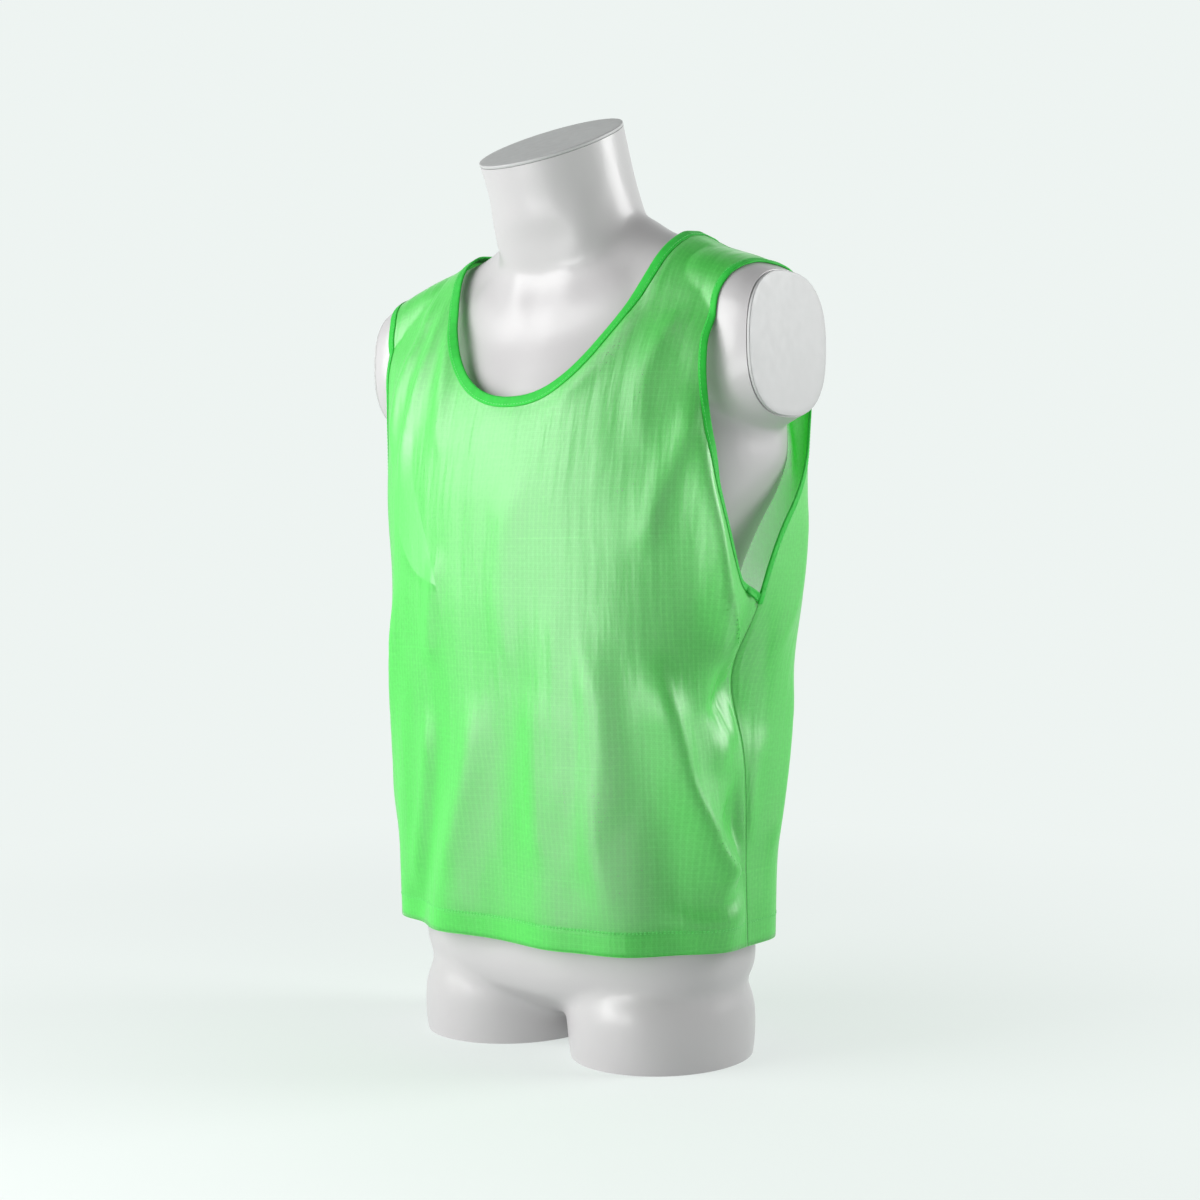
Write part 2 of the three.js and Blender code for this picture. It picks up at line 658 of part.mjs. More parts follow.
// A flat oval plate on the neck's slanted end.
function neckCap() {
  const plate = [SEAM_GAP, SEAM_GAP + NECK_CAP_THICKNESS].map((rise) => neckRing(NECK.at(-1), rise));
  return facingOut(loft(plate));
}

// ---------------------------------------------------------------- the object

const MATERIALS = {
  mesh: new THREE.MeshStandardMaterial({ color: 0x5be065, roughness: 0.55, metalness: 0 }),
  tape: new THREE.MeshStandardMaterial({ color: 0x35d243, roughness: 0.6, metalness: 0 }),
  shell: new THREE.MeshStandardMaterial({ color: 0xe4e4e4, roughness: 0.28, metalness: 0 }),
};

const part = new THREE.Group();
part.name = "scrimmage_vest_on_form";
part.position.y = BOX_SHIFT;

function add(name, geometry, material) {
  const mesh = new THREE.Mesh(geometry, MATERIALS[material]);
  mesh.name = name;
  mesh.geometry.computeVertexNormals();
  part.add(mesh);
}

const front = new PanelSurface(PANELS.front);
const back = new PanelSurface(PANELS.back);
const hemOut = -(CLOTH_THICKNESS + SEAM_GAP);

for (const [name, surface] of Object.entries({ front, back })) {
  const rows = halfRows(surface);
  add(`${name}_panel`, panelWall(surface, rows), "mesh");
  add(`${name}_hem`, panelWall(surface, rows.slice(0, 2), hemOut), "mesh");
}
add("neck_tape", neckTape(front, back), "tape");
add("armhole_tape_left", armholeTape(front, back, 1), "tape");
add("armhole_tape_right", armholeTape(front, back, -1), "tape");

add("form_body", formBody(), "shell");
add("form_neck_cap", neckCap(), "shell");
add("form_arm_cap_left", armCap(1), "shell");
add("form_arm_cap_right", armCap(-1), "shell");

export default part;
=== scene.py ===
"""A sheer green mesh training vest on a glossy white torso form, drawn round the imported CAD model.

Lengths are millimetres in the form's own frame until a mesh is made: the form faces -Y, its left side
is +X and Z is up. The cloth is laid out as it is cut: a point on a panel is (across, up), with across
measured along the cloth from the panel's centre line and up from the hem.
"""

import math

import bmesh
import bpy
import numpy as np
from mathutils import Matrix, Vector
from mathutils.bvhtree import BVHTree


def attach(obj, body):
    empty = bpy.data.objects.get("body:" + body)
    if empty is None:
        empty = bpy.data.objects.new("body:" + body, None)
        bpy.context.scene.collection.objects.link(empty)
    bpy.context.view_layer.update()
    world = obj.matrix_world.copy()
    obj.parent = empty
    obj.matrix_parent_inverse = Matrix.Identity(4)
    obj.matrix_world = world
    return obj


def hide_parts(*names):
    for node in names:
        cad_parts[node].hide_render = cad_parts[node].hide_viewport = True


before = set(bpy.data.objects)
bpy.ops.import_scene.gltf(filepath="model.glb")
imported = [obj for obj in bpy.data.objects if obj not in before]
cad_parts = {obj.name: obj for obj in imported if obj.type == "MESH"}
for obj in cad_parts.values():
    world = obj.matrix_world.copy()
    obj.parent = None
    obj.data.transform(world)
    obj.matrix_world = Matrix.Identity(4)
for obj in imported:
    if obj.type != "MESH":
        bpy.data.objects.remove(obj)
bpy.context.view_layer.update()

MM = 0.001
FRAME_SHIFT = np.array([0.0, -11.5, 0.0])  # from the form's own frame to the part's

# ---- sizes of the cloth

SEAM_GAP = 0.3
CLOTH_THICKNESS = 0.5
TAPE_WIDTH = 9.0
ARM_TAPE_WIDTH = 6.0
ARMHOLE_WIDER = {1: 4.0, -1: 19.0}  # at the chest, for each hand
ARMHOLE_WIDENS_UP = (480.0, 600.0)
ARMHOLE_NARROWS_UP = (640.0, 700.0)
HEM_HEIGHT = 21.0
HEM_ROWS = 5
SEAM_TURN = 12.0
SEAM_AXIS_Y = 8.0
UNDERARM_UP = 315.0
NECK_HALF_WIDTH = 114.0
NECK_FLARE = 10.0
SHOULDER_TIP = 203.0
SHOULDER_BEND = 9.0
NEAR_FALL = (116.0, 0.53)  # where a shoulder starts to slope, and how steeply
FAR_FALL = (102.0, 0.44)
SLOPE_STARTS_UP = 495.0
NECK_SLIDE = 10.0  # how far the neckline has slid sideways
SLIDE_REACH = 150.0
SLIDE_STARTS_UP = 360.0
CLEAR_OF_FORM = 1.3  # from the middle of the cloth to the form

SIDE_ROWS = 72
UNDER_NECK_ROWS = 42
SHOULDER_ROWS = 64
ARM_ROWS = SHOULDER_ROWS + UNDER_NECK_ROWS + 1
TAPE_COLUMNS = 3
PANEL_COLUMNS = 62
ARC_STEPS = 160
SAME_PLACE = 0.013  # cloth points closer than this are one point
SMALLEST_CELL = 0.0001


def table(columns, rows):
    """A table as one array for each named column."""
    return dict(zip(columns.split(), np.array(rows, float).T))


LEVEL_COLUMNS = "up height half_width depth square"
FRONT_LEVELS = table(LEVEL_COLUMNS, [
    (0, 109, 182, 121, 2.5), (90, 199, 180, 125, 2.6), (190, 299, 180, 131, 2.6),
    (255, 364, 186, 135, 2.5), (315, 424, 197.5, 138, 2.4), (395, 504, 208, 138, 2.4),
    (449, 558, 212, 134, 2.4), (493, 601, 220, 124, 2.5), (538, 642, 236, 106, 2.6),
    (580, 678, 250, 85, 2.6), (612, 709, 255, 70, 2.6), (638, 733, 258, 56, 2.6),
    (662, 750, 260, 38, 2.6), (682, 759, 260, 20, 2.6), (702, 761.5, 260, 0, 2.6),
])
BACK_LEVELS = table(LEVEL_COLUMNS, [
    (0, 109, 182, 113, 2.5), (90, 199, 180, 118, 2.7), (190, 299, 180, 136, 3),
    (255, 364, 186, 142, 3.1), (315, 424, 197.5, 144, 3.1), (395, 504, 208, 141, 3),
    (443, 552, 212, 138, 2.9), (488, 595, 220, 131, 2.8), (535, 639, 236, 117, 2.6),
    (581, 678, 250, 98, 2.5), (618, 709, 255, 82, 2.5), (650, 737, 258, 67, 2.5),
    (682, 754.5, 260, 38, 2.5), (712, 761.5, 260, 0, 2.5),
])
FRONT_ARMHOLE = table("up across", [
    (315, 289), (328, 250), (350, 238), (379, 228), (409, 219), (437, 211.5), (463, 205),
    (489, 199.5), (523, 193), (565, 187), (605, 186), (635, 190), (662, 197), (702, SHOULDER_TIP),
])
BACK_ARMHOLE = table("up across", [
    (315, 299), (332, 289), (349, 285), (373, 275), (400, 256), (428, 234), (455, 218),
    (490, 212), (540, 207), (600, 201), (660, 201), (712, SHOULDER_TIP),
])

# Broad folds that run down to the hem, as on the CAD panels. across is where a fold meets the hem, lean
# how far it moves outwards for each millimetre up, start and end the heights between which it shows.
FOLD_COLUMNS = "across lean start end width rise"
FRONT_FOLDS = table(FOLD_COLUMNS, [
    (-170, 0.02, -60, 420, 46, 12), (-132, 0.2, -60, 310, 26, -7), (-84, 0.33, -60, 330, 28, 6),
    (-18, 0.1, -60, 340, 34, -4), (52, 0, -60, 340, 28, 5), (116, -0.05, -60, 390, 30, 6),
    (176, -0.14, -60, 300, 28, -6), (242, -0.34, -40, 350, 34, 8), (311, -0.25, 200, 560, 30, 7),
    (-311, 0.25, 210, 540, 32, 6),
])
BACK_FOLDS = table(FOLD_COLUMNS, [
    (186, 0.02, -60, 400, 42, 6), (122, -0.1, -60, 350, 32, -7), (64, 0.06, -60, 420, 34, 7),
    (4, 0.05, -60, 330, 32, -6), (-52, -0.12, -60, 440, 34, 7), (-120, 0.04, -60, 340, 34, -8),
    (-182, -0.03, -60, 420, 44, 10),
])

# Creases drawn on the cut cloth: the path along the crest or the bottom of each one, its rise, how
# far it spreads to the left and the right of its path, and, where they matter, how softly its crest is
# rounded and over what share of its length each end fades.
FRONT_CREASES = [
    # drawn down from the far shoulder
    ([(-150, 640), (-146, 580), (-160, 500), (-178, 430)], 3.2, 10, 7),
    ([(-128, 625), (-122, 560), (-128, 490), (-150, 400)], 3.6, 9, 7),
    ([(-112, 600), (-100, 560), (-86, 490), (-82, 430)], 2.6, 8, 8),
    # drawn down from the near shoulder and round the chest
    ([(120, 600), (100, 545), (70, 500), (38, 470)], 2, 10, 12),
    ([(160, 600), (150, 550), (140, 490), (150, 430)], 2.2, 9, 12),
    ([(196, 500), (178, 440), (160, 392), (148, 340)], 4.5, 8, 13),
    # the corner where the slack under the near arm turns back to the side seam
    ([(190, 480), (202, 430), (212, 380), (218, 330), (228, 290), (250, 258), (256, 228)],
     9, 9, 14, 1.5, (0.3, 0.15)),
    ([(206, 452), (226, 395), (246, 345), (272, 312)], -6, 13, 13, 3, (0.3, 0.2)),
    ([(262, 240), (254, 205), (228, 182), (222, 150)], 4, 9, 13, 3, (0.3, 0.3)),
    ([(222, 232), (232, 205)], -2.5, 14, 14, 4, (0.4, 0.4)),
    # the long fold that swings out to the near corner of the hem
    ([(150, 275), (163, 234), (171, 194), (178, 155), (190, 125), (210, 84), (238, 58)],
     11, 11, 20, 3, (0.3, 0.12)),
    ([(150, 44), (185, 26), (225, 30), (262, 52)], 4.5, 12, 12, 4, (0.3, 0.3)),
    ([(215, 130), (240, 112), (262, 108)], -5, 20, 20, 6),
    # long soft folds across the front
    ([(97, 300), (110, 190), (102, 99), (118, 18)], 4.5, 10, 17, 4),
    ([(72, 330), (66, 250), (70, 170), (62, 90)], 2.2, 13, 15),
    ([(48, 240), (42, 150), (46, 60)], 2.4, 12, 15),
    ([(24, 430), (10, 340), (14, 230)], 1.8, 16, 14),
    ([(-22, 230), (-38, 150), (-53, 106), (-81, 30)], 3, 12, 15),
    ([(-70, 360), (-84, 300), (-92, 240)], 2.4, 9, 9),
    ([(-94, 215), (-101, 157), (-116, 90), (-136, 14)], 5, 9, 13, 4),
    ([(-150, 330), (-158, 250), (-176, 150), (-178, 60)], 4, 9, 12),
    ([(-205, 300), (-214, 220), (-208, 130), (-220, 40)], 5, 10, 12),
]
BACK_CREASES = [
    ([(-150, 640), (-140, 560), (-150, 480), (-168, 420)], 3, 9, 8),
    ([(-118, 610), (-104, 540), (-96, 470)], 2.4, 8, 8),
    ([(140, 620), (134, 545), (146, 470), (160, 410)], 3.2, 8, 10),
    ([(104, 600), (84, 540), (78, 480)], 2.2, 8, 8),
    ([(232, 420), (222, 350), (232, 290), (262, 240)], 2.5, 11, 14, 4),
    ([(-228, 430), (-218, 360), (-226, 300), (-250, 250)], 5, 12, 12, 2.5),
    ([(196, 250), (184, 190), (196, 120), (226, 60)], 3, 11, 17),
    ([(240, 200), (250, 140), (244, 80)], 2, 10, 10),
    ([(120, 360), (112, 260), (124, 160), (110, 40)], 4.5, 10, 14),
    ([(72, 240), (60, 170), (66, 90)], 3, 9, 9),
    ([(20, 380), (26, 270), (12, 160), (24, 30)], 4, 11, 13),
    ([(-30, 260), (-44, 180), (-38, 100)], 3, 8, 10),
    ([(-86, 400), (-80, 290), (-98, 170), (-90, 40)], 4.5, 10, 14),
    ([(-150, 230), (-142, 170), (-160, 90), (-176, 30)], 5, 9, 13),
    ([(-196, 300), (-206, 210), (-200, 120), (-222, 50)], 7, 12, 14),
]
CREASE_SCALE = 1.5
CREASE_SHARPNESS = 1.4
FOLD_OPENS = 50.0  # the heights over which a fold opens out of the hem and closes above
FOLD_CLOSES = 220.0

# Places where the whole cloth is drawn in or let out, both panels alike: centre, reach and move.
PINCHES = [
    ((190, -6, 350), (60, 28, 48), (-21, -7, 0)),
    ((-190, 8, 380), (60, 36, 40), (8, 3, 0)),
    ((-180, 8, 170), (60, 36, 50), (-4, 4, 0)),
]

# ---- numbers

def smoothstep(low, high, value):
    t = np.clip((value - low) / (high - low), 0.0, 1.0)
    return t * t * (3.0 - 2.0 * t)


def read(rows, by, column, at):
    """One column of a table at any place between its rows, by a monotone cubic."""
    x, y = rows[by], rows[column]
    at = np.asarray(at, float)
    slope = np.diff(y) / np.diff(x)
    below, above = slope[:-1], slope[1:]
    total = np.where(np.abs(below + above) < 1e-12, 1.0, below + above)
    inner = np.where(below * above <= 0, 0.0, 2.0 * below * above / total)
    tangent = np.concatenate([slope[:1], inner, slope[-1:]])
    i = np.clip(np.searchsorted(x, at, side="right") - 1, 0, len(x) - 2)
    span = x[i + 1] - x[i]
    t = np.clip((at - x[i]) / span, 0.0, 1.0)
    return (
        y[i] * (1 + 2 * t) * (1 - t) ** 2
        + y[i + 1] * (3 - 2 * t) * t**2
        + tangent[i] * span * t * (1 - t) ** 2
        - tangent[i + 1] * span * t**2 * (1 - t)
    )


def unit(vectors):
    length = np.linalg.norm(vectors, axis=-1, keepdims=True)
    return vectors / np.maximum(length, 1e-12)


def smooth_path(points, step=2.0):
    """A Catmull-Rom curve through given points, sampled about every step millimetres."""
    p = np.array(points, float)
    ends = np.concatenate([[2 * p[0] - p[1]], p, [2 * p[-1] - p[-2]]])
    out = []
    for a, b, c, d in zip(ends, ends[1:], ends[2:], ends[3:]):
        count = max(2, int(np.linalg.norm(c - b) / step))
        t = np.linspace(0, 1, count, endpoint=False)[:, None]
        out.append(0.5 * (2 * b + (c - a) * t + (2 * a - 5 * b + 4 * c - d) * t**2
                          + (3 * b - a - 3 * c + d) * t**3))
    return np.concatenate(out + [p[-1:]])


# ---- the cloth's shape

class PanelSurface:
    """One panel of the vest, from flat cut to place in space."""

    def __init__(self, side, levels, armhole, folds, creases, neck_drop, neck_square):
        self.side, self.levels, self.folds, self.creases = side, levels, folds, creases
        self.neck_drop, self.neck_square = neck_drop, neck_square
        self.top = levels["up"][-1]
        self.armhole = {name: column.copy() for name, column in armhole.items()}
        self.armhole["across"][0] = self.half_length(UNDERARM_UP)

    def arc(self, up):
        """Half of each level as short steps, with the length of cloth up to each step."""
        up = np.atleast_1d(np.asarray(up, float))
        half_width, depth, square = (
            read(self.levels, "up", name, up)[:, None] for name in ("half_width", "depth", "square")
        )
        angle = np.linspace(0, math.pi / 2, ARC_STEPS + 1)
        power = 2.0 / square
        x = half_width * np.sin(angle) ** power
        y = depth * np.maximum(np.cos(angle), 0.0) ** power
        run = np.cumsum(np.hypot(np.diff(x), np.diff(y)), axis=1)
        return x, y, np.concatenate([np.zeros((len(up), 1)), run], axis=1)

    def half_length(self, up):
        length = self.arc(up)[2][:, -1]
        return length if np.ndim(up) else float(length[0])

    def from_seam(self, across, up):
        return np.minimum(self.half_length(up) - np.abs(across), self.top - up) - SEAM_GAP / 2

    def smooth_point(self, across, up):
        x, y, run = self.arc(up)
        high = smoothstep(SLIDE_STARTS_UP, SLOPE_STARTS_UP, up)
        along = across + NECK_SLIDE * high * np.exp(-((across / SLIDE_REACH) ** 2))
        reach = np.minimum(np.abs(along), run[:, -1])
        row = np.arange(len(reach))
        i = np.clip((run < reach[:, None]).sum(axis=1), 1, ARC_STEPS)
        share = (reach - run[row, i - 1]) / np.maximum(run[row, i] - run[row, i - 1], 1e-9)
        out, deep = (v[row, i - 1] + (v[row, i] - v[row, i - 1]) * share for v in (x, y))
        start, slope = np.where(along[:, None] > 0, NEAR_FALL, FAR_FALL).T
        past = out - start
        fall = slope * (np.hypot(past, SHOULDER_BEND) + past) / 2
        height = read(self.levels, "up", "height", up)
        return np.stack([
            np.sign(along) * out,
            SEAM_AXIS_Y + self.side * deep,
            height - fall * smoothstep(SLOPE_STARTS_UP, self.top, up),
        ], axis=1)

    def normal(self, across, up):
        step = 2.0
        reach = self.half_length(up) - step
        x = np.clip(across, -reach, reach)
        y = np.clip(up, step, self.top - step)
        along = self.smooth_point(x + step, y) - self.smooth_point(x - step, y)
        rising = self.smooth_point(x, y + step) - self.smooth_point(x, y - step)
        normal = unit(-self.side * np.cross(along, rising))
        normal[:, 1] *= smoothstep(0, SEAM_TURN, self.from_seam(across, up))
        return unit(normal)

    def rise(self, across, up):
        """How far the folds and creases lift the cloth, fading out at its seams."""
        rise = np.zeros(len(across))
        for a, lean, start, end, width, height in zip(*self.folds.values()):
            ends = smoothstep(start, start + FOLD_OPENS, up) * (1 - smoothstep(end - FOLD_CLOSES, end, up))
            rise += height * ends * np.exp(-(((across - a - lean * up) / width) ** 2))
        from_seam = self.from_seam(across, up)
        rise *= smoothstep(0, 4 * SEAM_TURN, from_seam)
        fade = smoothstep(0, SEAM_TURN, from_seam)
        for crease in self.creases:
            rise += fade * crease_rise(across, up, *crease)
        return rise

    def point(self, across, up):
        return self.smooth_point(across, up) + self.normal(across, up) * self.rise(across, up)[:, None]

    def neck_edge(self, turn):
        angle = turn * math.pi / 2
        power = 2.0 / self.neck_square
        across = NECK_HALF_WIDTH * np.sin(angle) ** power
        depth = self.neck_drop * np.maximum(np.cos(angle), 0.0) ** power
        across += NECK_FLARE * smoothstep(0.5, 1.0, turn)
        return np.stack([across, self.top - depth], axis=1)


def crease_rise(across, up, path, rise, left, right, soft=3.0, fade=(0.25, 0.25)):
    """How far one crease lifts each point of the cloth."""
    line = smooth_path(path)
    points = np.stack([across, up], axis=1)
    gap = ((points[:, None] - line) ** 2).sum(axis=2)
    nearest = gap.argmin(axis=1)
    away = np.sqrt(gap[np.arange(len(points)), nearest])
    along = unit(np.gradient(line, axis=0))[nearest]
    off = points - line[nearest]
    hand = along[:, 0] * off[:, 1] - along[:, 1] * off[:, 0]
    width = np.where(hand > 0, left, right)
    round_off = np.sqrt(away**2 + soft**2) - soft
    place = nearest / (len(line) - 1)
    ends = smoothstep(0, fade[0], place) * smoothstep(0, fade[1], 1 - place)
    return CREASE_SCALE * rise * ends * np.exp(-((round_off / width) ** CREASE_SHARPNESS))


def offset_line(run, sideways):
    """The same run of points moved sideways."""
    along = unit(np.gradient(run, axis=0))
    return run + sideways * np.stack([-along[:, 1], along[:, 0]], axis=1)


def half_rows(surface, hand):
    """Half a panel as rows of flat points from its outer edge to its centre line or neckline."""
    top = surface.top - SEAM_GAP / 2
    arm_up = np.linspace(UNDERARM_UP, top, ARM_ROWS)
    wider = ARMHOLE_WIDER[hand] * smoothstep(*ARMHOLE_WIDENS_UP, arm_up)
    wider *= 1 - 0.5 * smoothstep(*ARMHOLE_NARROWS_UP, arm_up)
    armhole = np.stack([read(surface.armhole, "up", "across", arm_up) + wider, arm_up], axis=1)
    neck = surface.neck_edge(np.linspace(0, 1, SHOULDER_ROWS + 1) ** 0.9)
    neck[-1, 1] = top
    arm_inside = offset_line(armhole, ARM_TAPE_WIDTH)
    neck_inside = offset_line(neck, -TAPE_WIDTH)
    arm_inside[-1, 1] = neck_inside[-1, 1] = top
    seam_top = UNDERARM_UP - ARM_TAPE_WIDTH * 1.25
    arm_inside[0] = surface.half_length(seam_top), seam_top
    neck_inside[0] = 0, neck[0, 1] - TAPE_WIDTH

    below_hem = np.linspace(0, HEM_HEIGHT, HEM_ROWS)[:-1]
    seam_up = np.concatenate([below_hem, np.linspace(HEM_HEIGHT, seam_top, SIDE_ROWS)])
    seam = np.stack([surface.half_length(seam_up) - SEAM_GAP / 2, seam_up], axis=1)
    seam_inside = seam - [ARM_TAPE_WIDTH, 0]
    centre_up = np.concatenate([seam_up, np.linspace(UNDERARM_UP, neck_inside[0, 1], UNDER_NECK_ROWS)])
    centre = np.stack([np.zeros(len(centre_up)), centre_up], axis=1)
    centre_inside = centre + [TAPE_WIDTH, 0]
    armhole[0, 0] -= SEAM_GAP / 2
    arm_inside[0, 0] -= SEAM_GAP / 2
    seam_inside[-1] = arm_inside[0]
    centre_inside[-1] = neck_inside[0]
    lines = [np.concatenate(pair) for pair in (
        (seam, armhole), (seam_inside, arm_inside), (centre_inside, neck_inside), (centre, neck),
    )]
    shares = [
        np.linspace(0, 1, TAPE_COLUMNS, endpoint=False),
        np.linspace(0, 1, PANEL_COLUMNS, endpoint=False),
        np.linspace(0, 1, TAPE_COLUMNS + 1),
    ]
    return np.concatenate([
        a[:, None] * (1 - share)[:, None] + b[:, None] * share[:, None]
        for a, b, share in zip(lines, lines[1:], shares)
    ], axis=1)


def pinched(points):
    """The cloth drawn in or let out at a few places."""
    moved = points.copy()
    for centre, reach, move in PINCHES:
        near = (((points - centre) / reach) ** 2).sum(axis=1)
        moved += np.exp(-near)[:, None] * np.array(move, float)
    return moved


def quads(index):
    """The cells of a grid of numbered points."""
    return np.stack([index[:-1, :-1], index[:-1, 1:], index[1:, 1:], index[1:, :-1]], axis=-1).reshape(-1, 4)


def diagonals(points, faces):
    a, b, c, d = (points[faces[:, k]] for k in range(4))
    return c - a, d - b


class PanelGrid:
    """A whole panel as a grid of cloth points. index[hand] numbers the points of each half."""

    def __init__(self, surface):
        flat = {hand: half_rows(surface, hand) * [hand, 1] for hand in (1, -1)}
        rows, columns = flat[1].shape[:2]
        cut = np.concatenate([flat[1].reshape(-1, 2), flat[-1].reshape(-1, 2)])
        key = np.round(cut / SAME_PLACE).astype(np.int64)
        _, first, number = np.unique(key, axis=0, return_index=True, return_inverse=True)
        self.index = dict(zip((1, -1), number.reshape(2, rows, columns)))
        self.cut = cut[first]
        cells = [quads(i) if hand * surface.side > 0 else quads(i)[:, ::-1] for hand, i in self.index.items()]
        self.faces = np.concatenate(cells)
        self.faces = self.faces[self.areas() > SMALLEST_CELL]
        self.place = clear_of_form(pinched(surface.point(self.cut[:, 0], self.cut[:, 1])))
        normal = np.cross(*diagonals(self.place, self.faces))
        self.normals = np.zeros_like(self.place)
        for k in range(4):
            np.add.at(self.normals, self.faces[:, k], normal)
        self.normals = unit(self.normals)

    def areas(self):
        """The flat area of each cell, in square millimetres."""
        first, second = diagonals(self.cut, self.faces)
        return np.abs(first[:, 0] * second[:, 1] - first[:, 1] * second[:, 0]) / 2


# ---- meshes

def link(name, data):
    """A new object in the scene."""
    made = bpy.data.objects.new(name, data)
    bpy.context.scene.collection.objects.link(made)
    return made


def new_object(name, points, faces, material, body_slot):
    mesh = bpy.data.meshes.new(name)
    verts = (np.asarray(points) + FRAME_SHIFT) * MM
    mesh.from_pydata(verts.tolist(), [], [list(map(int, f)) for f in faces])
    mesh.validate()
    mesh.shade_smooth()
    mesh.materials.append(material)
    made = link(name, mesh)
    return made


def boundary(faces):
    """The directed edges that only one face uses."""
    edges = dict.fromkeys(edge for face in faces for edge in zip(face, face[1:] + face[:1]))
    return [edge for edge in edges if edge[::-1] not in edges]


def wall_mesh(points, normals, faces, thickness):
    """A closed wall of even thickness on a sheet. A collapsed cell becomes a triangle."""
    count = len(points)
    both = np.concatenate([points + normals * thickness / 2, points - normals * thickness / 2])
    cells = [[int(p) for k, p in enumerate(face) if p != face[k - 1]] for face in faces]
    outer = [cell for cell in cells if len(set(cell)) >= 3]
    inner = [[p + count for p in reversed(face)] for face in outer]
    rim = [[q, p, p + count, q + count] for p, q in boundary(outer)]
    return both, outer + inner + rim


def sweep(stops, closed=True):
    """A tube of quads through stops, each a ring of points."""
    stops = np.asarray(stops)
    count, around = stops.shape[:2]
    index = np.arange(count * around).reshape(count, around)
    return stops.reshape(-1, 3), quads(np.pad(index, ((0, int(closed)), (0, 1)), "wrap")).tolist()


def lofted(rings):
    """A closed solid through rings, with flat ends."""
    points, faces = sweep(rings, closed=False)
    around = len(rings[0])
    first, last = list(range(around)), list(range(len(points) - around, len(points)))
    return points, faces + [first[::-1], last]


def joined(parts):
    """Several lots of points and faces as one."""
    points, faces = [], []
    count = 0
    for more, ends in parts:
        faces += [[p + count for p in face] for face in ends]
        points.append(more)
        count += len(more)
    return np.concatenate(points), faces


def outward(points, faces):
    """The points and faces of a solid, with the faces turned so that they face out of it."""
    corners = np.array([(face[0], q, r) for face in faces for q, r in zip(face[1:], face[2:])])
    a, b, c = np.asarray(points)[corners.T]
    volume = (a * np.cross(b, c)).sum()
    return points, faces if volume > 0 else [face[::-1] for face in faces]


# ---- materials

class Nodes:
    """A short way to write the nodes of a material or of the world."""

    def __init__(self, owner):
        self.owner = owner
        owner.use_nodes = True
        self.nodes = owner.node_tree.nodes
        self.nodes.clear()

    def add(self, kind, *values, out=0, **named):
        """A new node's output. A name that starts with _ is the node's own, the rest are its sockets."""
        node = self.nodes.new("ShaderNode" + kind)
        for name, value in named.items():
            if name.startswith("_"):
                setattr(node, name[1:], value)
            else:
                self.set(node.inputs[name.replace("__", " ")], value)
        for socket, value in zip(node.inputs, values):
            self.set(socket, value)
        return node.outputs[out]

    def set(self, socket, value):
        if isinstance(value, bpy.types.NodeSocket):
            self.owner.node_tree.links.new(value, socket)
        else:
            socket.default_value = value

    def math(self, operation, *values):
        return self.add("Math", *values, _operation=operation)

    def ramp(self, value, low, high, start=0.0, end=1.0, kind="SMOOTHSTEP"):
        return self.add("MapRange", value, low, high, start, end, _interpolation_type=kind)

    def noise(self, place, scale, detail):
        return self.add("TexNoise", Vector=place, Scale=scale, Detail=detail)

    def colour(self, factor, tones):
        made = self.add("Mix", factor, _data_type="RGBA", out=2)
        for socket, tone in zip(made.node.inputs[6:8], tones):
            socket.default_value = tone
        return made

    def finish(self, shader, output="OutputMaterial"):
        self.set(self.nodes.new("ShaderNode" + output).inputs["Surface"], shader)
        return self.owner


MESH_TONES = (0.075, 0.75, 0.085, 1.0), (0.03, 0.60, 0.036, 1.0)
TAPE_TONES = (0.028, 0.60, 0.055, 1.0), (0.016, 0.44, 0.035, 1.0)
THREAD_TONES = (0.05, 0.55, 0.08, 1.0), (0.14, 0.72, 0.18, 1.0)
SHELL_TONES = (0.41, 0.396, 0.402, 1.0), (0.44, 0.425, 0.431, 1.0)
CAP_TONES = (0.38, 0.38, 0.38, 1.0), (0.41, 0.41, 0.41, 1.0)
SHEEN_TINT = (0.9, 1.0, 0.9, 1.0)
WALE_PITCH = 4.6
COURSE_PITCH = 7.3
HOLE_ACROSS = 2.3
HOLE_UP = 1.9
RIB_PITCH = 0.9

# Lines pressed in when the vest was folded to be packed: each is a place and a slope in the cut cloth.
PRESSED_ACROSS = [(62.0, 0.015), (161.0, 0.04), (262.0, -0.01), (364.0, 0.02)]
PRESSED_UP = [(76.0, 0.084), (-118.0, 0.03)]


def cut_place(n):
    """The cloth's own coordinates in millimetres, together and then across and up."""
    place = n.add("Attribute", _attribute_name="cut", out="Vector")
    across = n.add("SeparateXYZ", place)
    return place, across, across.node.outputs[1]


def pressed_lines(n, place, across, up):
    """1 on the lines pressed into the cloth, worn away unevenly along them."""
    total = 0.0
    lines = [(up, across, *line) for line in PRESSED_ACROSS] + [(across, up, *line) for line in PRESSED_UP]
    for level, run, start, slope in lines:
        away = n.math("SUBTRACT", level, n.math("MULTIPLY_ADD", run, slope, start))
        total = n.math("MAXIMUM", n.ramp(n.math("ABSOLUTE", away), 0.2, 1.5, 1.0, 0.0), total)
    worn = n.ramp(n.noise(place, 0.014, 2.0), 0.42, 0.62)
    return n.math("MULTIPLY", total, worn)


def from_middle(n, value):
    """How far a value is from the middle of its own whole step."""
    return n.math("SUBTRACT", n.math("FRACT", value), 0.5)


